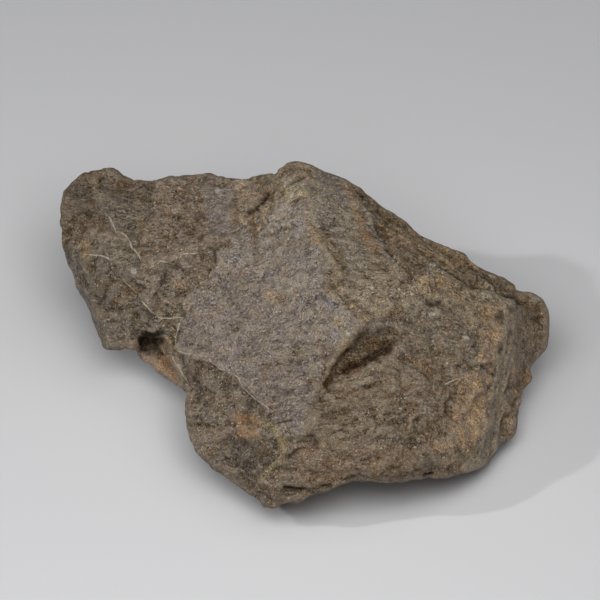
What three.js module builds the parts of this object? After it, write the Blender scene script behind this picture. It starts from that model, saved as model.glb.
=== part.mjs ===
// A chondrite: one stony meteorite, broken and weathered, that rests on a small flat spot.
// Millimetres, +Z up, the longest way of the stone along X, its steep broad face towards -Y. The
// origin is under the middle of the stone, on the surface that it rests on.
//
// The stone is set out on a board that leans back by boardTilt. Its outline (the rim) is drawn on
// the board, and splits the surface into two sheets: the upper one looks out from the board, and
// the under one holds the back, the underside and the resting spot. Each sheet is a net of
// triangles hung on the arrises and spot heights below, roughened with lumps, ledges and pits.

import * as THREE from "three";
import { ImprovedNoise } from "three/addons/math/ImprovedNoise.js";

const stoneWidth = 61.8;          // along X, over everything
const boardTilt = Math.PI / 4;    // the board leans back by this
const rimStep = 1.2;              // longest step between points along the rim
const arrisStep = 1.3;            // and along an arris
const fillStep = 1.45;            // spacing of the even fill between the arrises
const leastGap = 0.55;            // points on an arris keep this far apart
const fillGap = 0.7 * fillStep;   // and those of the fill this far from any other
const longestEdge = 2.3;          // longer edges on steep faces are halved
const easeShare = 0.22;           // how far a point is eased towards its neighbours
const rimShare = 0.3;             // share of the roughness that the rim takes, so the outline holds
const rimWander = 1.1;            // how far the rim wanders out from the board and back
const wanderSize = 3.4;           // over lengths like this
const lowestRough = 0.15;         // nothing rough comes lower than this over the resting spot

const swells = { size: 9, height: 0.5, seed: 3 };
const bumps = { size: 3, height: 0.1, seed: 5 };
const coarseChips = { size: 6.4, height: 0.24, tilt: 0.13 };
const fineChips = { size: 3.3, height: 0.07, tilt: 0.08 };
const ledges = { gap: 2.3, depth: 0.75, patchSize: 11, waverSize: 7, waver: 0.8 };
const edgeOn = [0.1, 0.45];       // roughness fades where a face is this near to edge-on to the board
const calmShare = 0.6;            // how much plainer the clean faces are

const boardNormal = new THREE.Vector3(0, -Math.cos(boardTilt), Math.sin(boardTilt));
const layerNormal = new THREE.Vector3(-0.04, -0.26, 0.96).normalize();   // the beds lie near level

// Rim of the stone, clockwise from the peak: across the board, up the board, out from the board.
const rim = [
  // peak and the brow that falls to the right
  [-2.5, 42.0, -7.6], [-2.0, 42.8, -6.6], [-1.0, 42.9, -6.1], [0.1, 42.4, -6.0], [1.4, 41.9, -6.2],
  [3.3, 41.4, -6.5], [5.1, 40.5, -6.8], [6.8, 39.9, -7.2], [8.0, 39.2, -7.4], [9.0, 37.8, -7.0],
  [11.0, 36.4, -7.3], [12.0, 35.6, -7.6], [13.8, 34.3, -8.0], [16.1, 33.0, -8.5], [17.6, 32.3, -8.8],
  // two flakes at the end of the brow
  [19.3, 31.5, -9.0], [20.3, 31.4, -9.0], [21.1, 30.6, -8.8], [21.7, 29.6, -8.2], [22.8, 29.1, -8.3],
  [23.5, 28.5, -8.4], [24.5, 28.4, -8.6], [25.5, 28.0, -8.6], [26.4, 27.4, -8.4], [26.5, 26.7, -8.2],
  // knob at the right end
  [26.4, 26.2, -8.8], [27.1, 26.4, -9.5], [28.3, 26.5, -10.0], [29.5, 26.1, -10.3], [30.5, 25.2, -10.4],
  [30.9, 24.0, -10.2], [30.9, 21.8, -9.8], [30.7, 20.5, -9.6], [30.4, 19.6, -9.5], [29.6, 19.0, -9.4],
  [29.0, 18.0, -9.2], [28.2, 17.1, -9.0],
  // small lumps down the right side
  [28.4, 16.2, -9.0], [28.4, 15.4, -9.0], [28.0, 14.7, -9.0], [27.3, 14.1, -8.6], [26.8, 13.1, -7.6],
  [26.5, 12.3, -7.0], [26.5, 10.8, -6.4], [26.6, 9.5, -6.2], [26.4, 8.8, -6.0], [25.5, 8.1, -5.4],
  [24.6, 7.9, -4.2],
  // lower edge of the broad face
  [23.9, 6.8, -3.0], [23.2, 5.6, -2.0], [22.3, 4.8, -0.6], [21.4, 4.5, 0.5], [20.1, 4.1, 2.0],
  [18.9, 3.6, 3.2], [17.6, 3.4, 4.5], [15.8, 3.5, 5.5], [14.5, 3.1, 6.3], [12.0, 3.3, 7.2],
  [9.5, 3.0, 7.8], [6.4, 3.1, 8.0], [5.1, 2.4, 8.0], [3.9, 2.1, 8.0], [2.0, 1.6, 7.9],
  [0.1, 1.0, 7.6], [-0.9, 0.4, 7.2],
  // lowest front corner, and the edge that climbs to the left
  [-2.4, 0.1, 6.8], [-4.5, 0.0, 6.4], [-5.3, 0.3, 6.0], [-6.1, 0.9, 5.6], [-8.0, 2.1, 4.8],
  [-9.3, 3.0, 4.2], [-10.3, 4.0, 3.6], [-11.8, 5.0, 2.8], [-13.0, 6.0, 2.2], [-13.6, 7.0, 1.8],
  [-14.3, 8.3, 1.2], [-14.5, 9.9, 0.7], [-14.6, 11.8, 0.2], [-14.8, 12.8, -0.4], [-14.4, 13.6, -1.2],
  // belly under the left edge, and the hollow beside it
  [-14.3, 14.4, -3.0], [-14.8, 14.8, -6.0], [-16.0, 15.0, -7.5], [-17.0, 15.5, -8.2], [-18.0, 16.4, -8.8],
  [-19.3, 17.8, -9.8], [-20.1, 18.5, -10.8], [-20.5, 19.5, -11.6],
  // left lobe
  [-21.2, 19.8, -9.6], [-22.4, 19.9, -8.8], [-23.9, 19.5, -8.8], [-25.2, 19.9, -9.6], [-25.6, 20.8, -10.2],
  [-26.1, 22.4, -10.8], [-26.8, 24.3, -11.4], [-27.5, 26.1, -12.0], [-28.0, 27.6, -12.5],
  [-29.0, 29.5, -12.8], [-30.1, 31.4, -13.0], [-30.5, 32.7, -13.0], [-30.5, 34.3, -13.0],
  [-30.9, 35.5, -13.2], [-30.5, 36.3, -13.2], [-30.6, 37.4, -13.4], [-30.3, 38.9, -13.8],
  [-29.6, 40.0, -14.2], [-28.7, 40.6, -14.6], [-28.3, 41.3, -14.8], [-27.0, 41.5, -15.0],
  [-25.5, 41.8, -15.2], [-24.0, 41.8, -15.2], [-22.8, 41.3, -15.2], [-21.4, 40.5, -15.0],
  [-20.1, 40.1, -14.8],
  // slab between the lobe and the peak
  [-18.9, 40.3, -14.8], [-17.6, 40.9, -15.0], [-15.5, 41.1, -15.2], [-13.6, 41.5, -15.4],
  [-11.8, 41.4, -15.0], [-9.9, 40.9, -14.0], [-8.0, 40.6, -13.0], [-6.8, 41.0, -12.0],
  [-5.8, 41.3, -11.5], [-4.6, 41.0, -11.0], [-3.9, 41.0, -10.0], [-3.0, 41.7, -8.6],
];

// Upper sheet: arrises and spot heights, on the board as the rim is.
const upperArrises = {
  // keel from the peak down to the lowest front corner, right edge of the great face
  keel: [
    [-0.5, 41.1, -3.6], [0.5, 38.6, -1.4], [1.0, 36.8, 0.0], [1.5, 34.9, 1.1], [2.0, 33.0, 2.3],
    [3.6, 30.8, 4.2], [2.8, 29.3, 4.3], [2.3, 27.6, 4.8], [3.3, 26.1, 6.0], [5.1, 24.3, 7.9],
    [6.8, 22.4, 9.7], [6.0, 20.8, 9.9], [5.1, 19.9, 9.9], [3.6, 17.4, 10.1], [2.3, 14.9, 10.4],
    [1.8, 13.0, 10.7], [1.0, 11.1, 10.9], [0.1, 9.3, 10.8], [-1.1, 6.8, 10.2], [-2.0, 4.3, 9.4],
    [-2.6, 2.6, 8.6],
  ],
  // left edge of the great face, over the recess
  greatFaceLeft: [
    [-8.6, 34.3, -5.2], [-10.8, 32.4, -5.0], [-10.8, 30.8, -4.3], [-11.4, 29.5, -4.1], [-12.0, 28.5, -3.9],
    [-13.0, 27.4, -4.0], [-14.3, 26.4, -4.3], [-15.0, 25.5, -4.4], [-15.0, 24.3, -3.9], [-15.3, 23.4, -3.7],
  ],
  // lower edge of the great face, where it turns down into the corner face
  greatFaceLower: [
    [-15.3, 23.4, -3.7], [-15.8, 22.4, -3.5], [-16.5, 20.8, -3.2], [-16.3, 19.4, -2.4], [-14.9, 19.0, -1.5],
    [-14.0, 18.5, -0.7], [-12.0, 18.5, 0.6], [-11.6, 17.8, 1.1], [-10.3, 16.8, 2.3], [-9.0, 16.4, 3.2],
    [-8.0, 15.5, 4.2], [-7.6, 14.6, 4.8], [-6.0, 13.1, 6.3], [-4.5, 12.0, 7.7], [-4.4, 9.9, 8.3],
    [-3.3, 8.6, 9.2], [-2.7, 6.8, 9.3], [-3.6, 4.6, 8.4], [-5.3, 3.2, 7.2],
  ],
  greatFaceSwell: [[-9.3, 25.5, -0.7], [-5.5, 25.5, 1.5], [-3.0, 20.5, 5.0], [-0.5, 15.5, 8.7]],
  greatFaceDish: [[-9.3, 20.5, 1.0], [-5.5, 15.5, 5.3]],
  // edge of the corner face over the belly
  cornerFaceLeft: [[-16.3, 19.4, -2.4], [-16.0, 17.8, -2.6], [-15.3, 16.5, -2.4], [-14.8, 15.3, -2.0]],
  cornerFaceFoot: [
    [-13.2, 15.5, 0.2], [-13.2, 12.8, 0.8], [-13.0, 9.3, 2.0], [-11.1, 6.3, 3.8], [-8.0, 4.1, 5.7],
  ],
  cornerFaceMiddle: [[-11.1, 14.3, 2.2], [-9.3, 10.5, 4.9], [-6.8, 8.0, 6.9], [-5.3, 5.5, 7.6]],
  cornerLip: [[-4.9, 1.5, 7.2], [-3.0, 1.0, 7.8], [-0.6, 1.4, 8.4], [2.0, 2.4, 8.6]],
  cornerUndercut: [[-3.6, 2.1, 7.6], [-1.6, 2.1, 7.8], [0.4, 2.3, 8.0]],
  // belly and hollow, deep under the edge
  bellyTop: [[-16.9, 18.6, -8.6], [-16.5, 17.4, -7.8], [-15.8, 16.2, -7.0]],
  bellyBack: [[-18.3, 18.9, -9.6], [-17.3, 19.5, -9.2]],
  hollow: [[-19.7, 20.2, -12.4], [-18.5, 20.1, -12.8], [-17.7, 20.7, -12.0]],
  // lower edge of the lobe, over the hollow
  lobeSill: [
    [-23.6, 20.6, -8.0], [-22.0, 20.8, -7.6], [-21.0, 21.6, -7.3], [-19.6, 21.6, -6.9], [-18.6, 21.4, -6.6],
    [-17.4, 21.3, -5.8], [-17.0, 20.2, -4.6], [-16.5, 20.8, -3.2],
  ],
  // nose between the lobe's side and the recess
  lobeNose: [
    [-22.9, 28.3, -5.2], [-21.4, 26.4, -5.1], [-20.4, 25.5, -5.2], [-18.9, 23.8, -5.2], [-18.0, 23.1, -5.3],
    [-17.4, 21.3, -5.8],
  ],
  noseFoot: [[-18.0, 23.1, -5.3], [-16.8, 23.4, -5.2], [-15.3, 23.4, -3.7]],
  lobeShoulder: [
    [-30.5, 34.3, -13.0], [-28.6, 32.3, -10.4], [-27.0, 30.8, -8.6], [-25.2, 29.5, -7.0], [-22.9, 28.3, -5.2],
  ],
  lobeFlank: [[-29.0, 31.0, -11.0], [-27.4, 27.4, -9.3], [-25.8, 23.6, -8.3], [-24.9, 21.4, -8.0]],
  lobeFlankMiddle: [[-25.0, 27.0, -7.7], [-23.5, 24.0, -7.1]],
  // folds on the lobe's top
  lobeFold: [
    [-24.5, 35.8, -9.4], [-23.6, 34.4, -8.0], [-22.5, 33.5, -7.0], [-21.3, 31.8, -5.6], [-19.5, 29.6, -4.0],
  ],
  lobeCrease: [[-27.0, 40.6, -14.2], [-26.9, 39.3, -13.6], [-26.3, 37.3, -12.0]],
  lobeCrown: [[-28.9, 38.6, -12.9], [-28.6, 36.4, -11.6], [-28.0, 34.2, -10.2]],
  lobePlate: [[-25.4, 39.4, -13.2], [-23.0, 38.8, -12.8], [-20.6, 38.4, -12.6], [-21.4, 35.6, -10.2]],
  lobeMiddle: [[-25.8, 33.4, -8.2], [-24.0, 31.4, -6.6], [-22.3, 30.0, -5.4]],
  // left edge of the slab, a low step over the lobe
  slabStep: [
    [-18.7, 39.6, -13.7], [-19.0, 38.3, -12.0], [-18.7, 36.6, -10.1], [-20.0, 34.6, -8.2],
    [-20.6, 33.0, -6.9],
  ],
  slabStepFoot: [[-19.7, 38.9, -13.4], [-19.9, 37.6, -12.4], [-19.8, 36.2, -11.0], [-21.0, 34.2, -8.9]],
  // front edge of the slab, over the recess
  slabFront: [
    [-20.5, 30.6, -4.6], [-19.3, 29.5, -3.5], [-18.0, 30.4, -3.9], [-17.0, 30.3, -3.8], [-15.5, 31.0, -4.3],
    [-13.6, 31.4, -4.6], [-11.8, 31.7, -5.2],
  ],
  slabTop: [[-17.0, 37.5, -10.6], [-14.9, 36.1, -8.8], [-16.6, 33.8, -6.8], [-13.4, 33.6, -6.6]],
  slabPolish: [[-12.4, 39.3, -12.7], [-11.1, 39.3, -12.3], [-9.4, 36.1, -9.0], [-9.4, 34.4, -7.2]],
  // recess between the lobe, the slab and the great face
  recessUpper: [[-18.4, 28.8, -4.7], [-15.8, 29.4, -4.8], [-13.6, 29.8, -5.1], [-12.2, 30.4, -5.7]],
  recessFloor: [
    [-19.2, 27.4, -5.3], [-17.2, 27.2, -5.1], [-15.8, 26.4, -5.0], [-14.4, 27.2, -5.0], [-13.1, 28.4, -5.1],
  ],
  recessLower: [[-19.2, 25.4, -5.5], [-17.6, 25.4, -5.2], [-15.9, 25.1, -4.8]],
  // low ridge and cleft left of the peak
  sideRidge: [
    [-6.8, 40.2, -11.2], [-7.0, 39.2, -9.6], [-7.6, 38.0, -8.4], [-8.2, 36.3, -7.6], [-7.2, 34.8, -5.8],
  ],
  cleft: [[-4.3, 39.4, -9.4], [-4.8, 38.4, -8.6], [-5.8, 37.4, -8.0], [-6.9, 36.1, -7.6], [-6.7, 35.0, -6.2]],
  cleftChip: [[-4.9, 37.4, -6.2], [-5.3, 36.1, -5.4], [-5.2, 35.0, -4.2]],
  // peak block
  peakLeft: [[-2.9, 40.9, -6.0], [-3.6, 39.8, -5.0], [-4.0, 37.4, -3.7], [-4.4, 35.0, -2.7]],
  peakTop: [[-1.5, 42.0, -5.2], [-1.9, 40.6, -4.4], [-1.0, 40.2, -4.2], [0.0, 40.9, -4.0]],
  peakFace: [[-1.6, 39.3, -3.0], [-2.0, 36.6, -1.6], [-1.0, 34.6, -0.4]],
  peakLedge: [[-4.0, 33.0, -1.8], [-2.6, 32.4, -0.6], [-0.6, 32.2, 0.8], [1.2, 32.4, 1.8]],
  // right roof and its outer ridge
  roofRidge: [
    [4.9, 39.9, -5.4], [6.0, 38.0, -3.8], [7.0, 36.1, -2.4], [7.6, 33.6, -0.6], [8.5, 32.4, 0.2],
    [9.9, 31.8, 0.5], [11.8, 30.3, 0.9], [13.3, 29.6, 0.7],
  ],
  roofTop: [[3.0, 39.4, -3.8], [3.6, 36.6, -1.4], [4.4, 34.0, 0.6]],
  roofMiddle: [[5.8, 31.8, 2.5], [8.6, 29.6, 3.4], [12.0, 27.4, 3.9]],
  roofBreak: [[3.6, 28.4, 4.9], [5.1, 28.5, 4.9], [6.8, 27.9, 5.0]],
  roofBreakFoot: [[3.4, 27.4, 5.2], [5.1, 27.5, 5.3], [6.8, 27.0, 5.6]],
  roofLower: [[5.8, 25.5, 7.0], [9.5, 25.5, 6.6], [12.6, 25.5, 5.5], [15.0, 25.4, 4.0]],
  // brow over the shadowed band
  bandBrow: [[6.8, 22.4, 9.7], [8.3, 22.2, 9.0], [10.1, 22.7, 8.5], [12.0, 22.3, 7.8], [13.9, 21.3, 6.8]],
  bandFloor: [
    [2.7, 15.2, 9.0], [3.9, 16.4, 8.1], [5.1, 17.9, 7.6], [6.8, 18.9, 7.3], [8.3, 19.5, 7.3],
    [9.8, 19.9, 7.4], [11.4, 20.4, 7.4],
  ],
  bandInner: [[7.3, 20.8, 7.9], [8.7, 20.8, 7.6], [10.4, 21.2, 7.6]],
  // top edge of the broad lower face
  broadTop: [
    [2.2, 13.4, 10.0], [3.3, 14.1, 9.5], [5.1, 15.5, 9.1], [7.0, 16.8, 9.1], [8.9, 17.7, 9.1],
    [10.8, 18.4, 8.9], [12.2, 19.2, 8.2], [13.9, 19.9, 7.4], [17.0, 19.9, 5.6],
  ],
  broadUpper: [[4.5, 11.2, 10.5], [9.5, 13.0, 10.4], [14.5, 15.5, 8.5], [18.3, 16.1, 6.3], [21.4, 15.6, 3.2]],
  broadMiddle: [[2.6, 8.0, 10.7], [6.0, 8.4, 10.8], [11.4, 8.6, 10.2], [15.8, 10.4, 8.5], [19.6, 10.5, 5.3]],
  broadLower: [
    [-0.4, 3.6, 9.6], [5.1, 4.3, 9.8], [9.5, 4.4, 9.4], [14.5, 4.6, 7.9], [17.6, 5.4, 6.2], [20.0, 6.1, 3.2],
  ],
  // step and corner at the right of the roof
  crest: [
    [13.3, 29.6, 0.7], [15.8, 29.5, -0.2], [17.6, 28.3, -0.4], [19.5, 27.0, -0.5], [20.8, 26.5, -0.9],
    [23.3, 26.4, -2.2], [24.5, 25.6, -2.8], [25.8, 25.0, -3.9],
  ],
  stepEdge: [[15.3, 25.2, 3.9], [17.0, 25.7, 2.8], [18.9, 25.6, 2.0]],
  stepFoot: [[15.4, 24.4, 4.0], [17.1, 24.9, 2.9], [19.0, 24.9, 2.1], [21.4, 25.3, 0.5]],
  stepLower: [[15.1, 23.2, 5.3], [17.0, 23.0, 4.7], [20.6, 23.0, 2.6]],
  cornerFacetLeft: [[21.8, 25.5, 0.3], [22.0, 21.8, 1.8], [22.4, 19.0, 2.4], [23.9, 17.6, 1.1]],
  cornerFacetRight: [[25.8, 25.0, -3.9], [25.4, 21.8, -1.8], [24.9, 19.9, -0.6], [23.9, 17.6, 1.1]],
  sideEdge: [
    [23.9, 17.6, 1.1], [23.4, 15.5, 0.8], [23.2, 13.6, 1.0], [22.5, 11.1, 1.3], [21.7, 8.6, 1.6],
    [20.8, 6.4, 1.8],
  ],
  sideMiddle: [[25.4, 15.8, -2.3], [25.1, 13.0, -2.8], [24.4, 9.9, -2.2], [23.2, 7.0, -1.0]],
  sideLump: [[25.7, 11.4, -4.8], [25.6, 9.5, -4.9]],
  // back slope beyond the roof ridge, and the two flakes
  backSlope: [[8.1, 38.0, -5.6], [10.4, 35.6, -5.2], [14.0, 32.6, -5.4], [17.6, 30.6, -6.0]],
  slopeFoot: [[9.8, 33.4, -1.6], [12.6, 31.6, -1.6], [15.8, 30.4, -2.2]],
  flakeTrench: [[16.6, 29.4, -3.2], [18.4, 28.4, -3.8], [20.3, 27.3, -3.8], [22.6, 27.1, -4.4]],
  flakeOne: [[18.4, 30.4, -5.8], [20.4, 29.7, -6.2]],
  flakeTwo: [[22.2, 28.3, -6.0], [24.2, 27.5, -6.4], [25.4, 27.0, -6.8]],
  // knob at the right end
  knobGap: [[26.0, 25.4, -5.4], [26.9, 25.5, -8.6], [27.6, 25.3, -8.6]],
  knobCrown: [[28.3, 24.5, -7.2], [29.3, 23.6, -7.8], [28.6, 21.8, -6.2], [27.0, 20.2, -4.6]],
  knobFoot: [[26.0, 18.0, -2.7], [27.4, 18.4, -5.6], [27.0, 16.9, -5.2]],
  lumpUnder: [[26.2, 15.2, -4.6], [26.9, 14.7, -7.2]],
};

// Under sheet: back, underside and resting spot, in the stone's own frame (x, y, z).
const underArrises = {
  // under the peak and the brow
  browBack: [
    [-2.6, 36.0, 22.4], [0.4, 36.4, 23.2], [4.2, 35.4, 21.8], [8.4, 34.0, 18.8], [13.2, 32.0, 16.4],
    [18.0, 30.2, 14.0],
  ],
  // back face of the slab and the lobe
  slabBack: [
    [-28.6, 38.8, 15.2], [-24.4, 41.4, 16.4], [-20.4, 40.4, 15.2], [-15.0, 42.2, 15.8], [-9.6, 41.0, 16.6],
  ],
  waist: [
    [-29.7, 37.4, 13.2], [-26.0, 41.4, 12.6], [-20.5, 39.8, 12.0], [-14.2, 42.8, 12.4], [-8.6, 39.8, 13.2],
    [-4.2, 38.8, 15.0], [2.2, 37.8, 15.4], [8.8, 36.2, 12.8], [13.4, 33.6, 11.6], [19.0, 31.6, 9.6],
    [24.0, 29.0, 8.6], [27.8, 27.6, 8.0], [29.8, 25.0, 6.8],
  ],
  backLow: [
    [-28.4, 34.4, 9.0], [-24.6, 38.6, 7.4], [-18.4, 36.6, 6.4], [-11.4, 39.6, 6.2], [-4.4, 35.6, 5.4],
    [3.0, 35.8, 6.2], [10.4, 32.0, 4.4], [16.4, 30.2, 4.8], [21.4, 26.2, 4.0], [25.6, 24.4, 4.6],
    [28.4, 21.6, 5.0],
  ],
  backRibLeft: [
    [-15.0, 42.2, 15.8], [-14.2, 42.8, 12.4], [-12.6, 41.8, 9.4], [-11.4, 39.6, 6.2], [-8.4, 34.4, 2.2],
  ],
  backRibMiddle: [
    [-3.4, 36.6, 20.4], [-4.2, 38.8, 15.0], [-1.4, 38.0, 10.6], [3.0, 35.8, 6.2], [4.0, 31.8, 2.4],
  ],
  backRibRight: [
    [13.2, 32.0, 16.4], [13.4, 33.6, 11.6], [15.6, 32.6, 8.2], [16.4, 30.2, 4.8], [15.4, 26.0, 2.0],
  ],
  backShelf: [[3.6, 37.2, 11.6], [8.0, 35.6, 9.4], [12.4, 33.4, 8.8]],
  backShelfFoot: [[4.0, 36.0, 10.2], [8.0, 34.2, 8.2], [12.0, 32.2, 7.6]],
  lobeUnder: [[-25.4, 25.4, 6.0], [-26.2, 30.8, 6.0], [-21.6, 31.4, 4.6], [-20.4, 25.6, 4.0]],
  lobeRoot: [[-18.6, 21.8, 3.4], [-16.6, 26.0, 3.4], [-15.0, 31.6, 3.4], [-13.6, 35.4, 4.0]],
  keelUnder: [[-11.0, 3.0, 4.2], [-6.4, -0.4, 3.0], [-1.0, -1.8, 3.4], [5.0, -1.8, 4.4], [11.0, 0.2, 4.2]],
  sideUnder: [[17.0, 3.4, 2.4], [20.8, 8.0, 1.6], [22.8, 13.4, 1.8], [24.6, 18.0, 2.8]],
  foot: [
    [-12.2, 29.6, 2.2], [-5.4, 30.8, 1.6], [1.6, 30.4, 1.7], [8.4, 28.4, 1.6], [14.0, 24.6, 1.4],
    [17.8, 19.2, 1.2], [18.2, 12.4, 1.1], [15.0, 6.8, 1.4], [8.6, 3.6, 1.9], [1.0, 3.2, 1.5],
    [-6.4, 4.6, 1.6], [-11.4, 9.6, 2.6], [-12.6, 16.4, 2.0], [-13.4, 23.6, 2.2], [-12.2, 29.6, 2.2],
  ],
};

// Resting spot: the one flat place, at z = 0.
const restingSpot = [
  [-8.6, 11.4], [-3.0, 8.6], [4.6, 8.8], [11.6, 12.0], [13.0, 18.4], [8.6, 24.0], [0.4, 25.8], [-7.4, 23.6],
  [-10.0, 17.6],
];

// Hollows, as place on the board, reach, depth: only on the upper sheet.
const pits = [
  [-26.5, 29.4, 1.4, 0.7], [-24.3, 27.5, 1.2, 0.6], [-21.4, 23.6, 1.5, 0.6], [-11.5, 30.9, 0.9, 0.6],
  [-14.6, 27.2, 1.1, 0.35], [3.2, 15.6, 1.3, 0.5], [7.0, 18.9, 1.6, 0.4], [-2.6, 14.0, 1.6, 0.5],
  [-1.2, 11.8, 1.4, 0.4], [12.6, 23.6, 1.2, 0.4], [-9.8, 37.4, 1.8, 0.3],
];

// Cleaner faces, as place on the board and reach.
const calmPlaces = [
  [-5.0, 22.0, 9.0], [-3.5, 30.0, 6.0], [6.0, 33.0, 5.5], [-23.0, 37.0, 4.0], [-25.0, 25.0, 4.0],
];
const calmLowest = -6;            // the clean faces all lie higher on the board than this

// ---------------------------------------------------------------- nets on the board

const noise = new ImprovedNoise();
const steps = [-1, 0, 1];
const nearCells = steps.flatMap((i) => steps.flatMap((j) => steps.map((k) => [i, j, k])));

function toBoard([x, y, z]) {
  const c = Math.cos(boardTilt), s = Math.sin(boardTilt);
  return [x, y * s + z * c, z * s - y * c];
}

function toStone([u, v, w]) {
  const c = Math.cos(boardTilt), s = Math.sin(boardTilt);
  return new THREE.Vector3(u, v * s - w * c, v * c + w * s);
}

// Points along a line of places, no further apart than step. A closed line leaves out its end.
function along(line, step) {
  const points = [];
  for (let i = 0; i + 1 < line.length; i++) {
    const [a, b] = [line[i], line[i + 1]];
    const parts = Math.max(1, Math.ceil(Math.hypot(b[0] - a[0], b[1] - a[1]) / step - 0.2));
    for (let k = 0; k < parts; k++) {
      points.push(a.map((value, axis) => value + (b[axis] - value) * k / parts));
    }
  }
  return points;
}

// Left, low, right and high limits of places on the board.
function extentOf(places) {
  const [across, up] = [0, 1].map((axis) => places.map((place) => place[axis]));
  return [Math.min(...across), Math.min(...up), Math.max(...across), Math.max(...up)];
}

function insideOutline(outline, u, v) {
  let inside = false;
  for (let i = 0, j = outline.length - 1; i < outline.length; j = i++) {
    const [ui, vi] = outline[i], [uj, vj] = outline[j];
    if (vi > v !== vj > v && u < (uj - ui) * (v - vi) / (vj - vi) + ui) inside = !inside;
  }
  return inside;
}

// Delaunay triangles of places on the board, counter-clockwise seen from in front.
function triangulate(places) {
  const far = 1e4;
  const all = [...places, [-far, -far], [far, -far], [0, far]];
  const circle = (a, b, c) => {
    const [ax, ay] = all[a];
    const [bx, by] = [all[b][0] - ax, all[b][1] - ay];
    const [cx, cy] = [all[c][0] - ax, all[c][1] - ay];
    const d = 2 * (bx * cy - by * cx);
    const bb = bx * bx + by * by;
    const cc = cx * cx + cy * cy;
    const [x, y] = [(cy * bb - by * cc) / d, (bx * cc - cx * bb) / d];
    return { a, b, c, x: x + ax, y: y + ay, reach: x * x + y * y };
  };
  let triangles = [circle(places.length, places.length + 1, places.length + 2)];
  const order = places.map((_, index) => index).sort((i, j) => places[i][0] - places[j][0]);
  const done = [];
  for (const index of order) {
    const [x, y] = all[index];
    const edges = new Map();
    const open = [];
    for (const t of triangles) {
      const [dx, dy] = [x - t.x, y - t.y];
      if (dx > 0 && dx * dx > t.reach) {
        done.push(t);                     // wholly behind the sweep, no later point can reach it
      } else if (dx * dx + dy * dy > t.reach) {
        open.push(t);
      } else {
        for (const [p, q] of [[t.a, t.b], [t.b, t.c], [t.c, t.a]]) {
          if (!edges.delete(q + "_" + p)) edges.set(p + "_" + q, [p, q]);
        }
      }
    }
    for (const [p, q] of edges.values()) open.push(circle(p, q, index));
    triangles = open;
  }
  const real = ({ a, b, c }) => Math.max(a, b, c) < places.length;
  return [...done, ...triangles].filter(real).map(({ a, b, c }) => [a, b, c]);
}

// Height of a net over a place on the board, or null outside it.
function heightAt(net, u, v) {
  for (const [a, b, c] of net.triangles) {
    const [A, B, C] = [net.places[a], net.places[b], net.places[c]];
    const area = (B[0] - A[0]) * (C[1] - A[1]) - (B[1] - A[1]) * (C[0] - A[0]);
    const s = ((u - A[0]) * (C[1] - A[1]) - (v - A[1]) * (C[0] - A[0])) / area;
    const t = ((B[0] - A[0]) * (v - A[1]) - (B[1] - A[1]) * (u - A[0])) / area;
    if (Math.min(s, t, 1 - s - t) >= -1e-9) return A[2] + s * (B[2] - A[2]) + t * (C[2] - A[2]);
  }
  return null;
}

// One sheet: the rim first, then the points of its arrises, then an even fill between them.
function makeSheet(rimPoints, arrises) {
  const places = [...rimPoints];
  const near = (u, v, reach) => places.some((p) => Math.hypot(p[0] - u, p[1] - v) < reach);
  for (const arris of arrises) {
    const last = arris[arris.length - 1];
    for (const point of [...along(arris, arrisStep), last]) {
      const [u, v] = point;
      if (!near(u, v, leastGap) && insideOutline(rimPoints, u, v)) places.push(point);
    }
  }
  const keep = (triangle) => {
    const [u, v] = [0, 1].map((axis) => triangle.reduce((sum, i) => sum + places[i][axis], 0) / 3);
    return insideOutline(rimPoints, u, v);
  };
  const coarse = { places: [...places], triangles: triangulate(places).filter(keep) };
  const [left, low, right, high] = extentOf(rimPoints);
  const rowGap = fillStep * Math.sqrt(3) / 2;
  for (let row = 0; low + row * rowGap < high; row++) {
    for (let column = 0; left + column * fillStep < right; column++) {
      const jitter = 0.3 * fillStep * noise.noise(column * 0.73, row * 0.61, 0.5);
      const u = left + (column + (row % 2) / 2) * fillStep + jitter;
      const v = low + row * rowGap + jitter;
      if (!insideOutline(rimPoints, u, v) || near(u, v, fillGap)) continue;
      const w = heightAt(coarse, u, v);
      if (w !== null) places.push([u, v, w]);
    }
  }
  return { places, triangles: triangulate(places).filter(keep) };
}

// ---------------------------------------------------------------- the closed stone

// Both sheets sewn along the rim.
function sewSheets(rimPoints) {
  const upper = makeSheet(rimPoints, Object.values(upperArrises));
  const spot = [...restingSpot, restingSpot[0]].map(([x, y]) => toBoard([x, y, 0]));
  const under = makeSheet(rimPoints, [spot, ...Object.values(underArrises).map((line) => line.map(toBoard))]);
  const shift = upper.places.length - rimPoints.length;
  const renumber = (i) => (i < rimPoints.length ? i : i + shift);
  const places = [...upper.places, ...under.places.slice(rimPoints.length)];
  const triangles = [
    ...upper.triangles,
    ...under.triangles.map(([a, b, c]) => [renumber(a), renumber(c), renumber(b)]),
  ];
  return { points: places.map(toStone), triangles };
}

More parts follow.
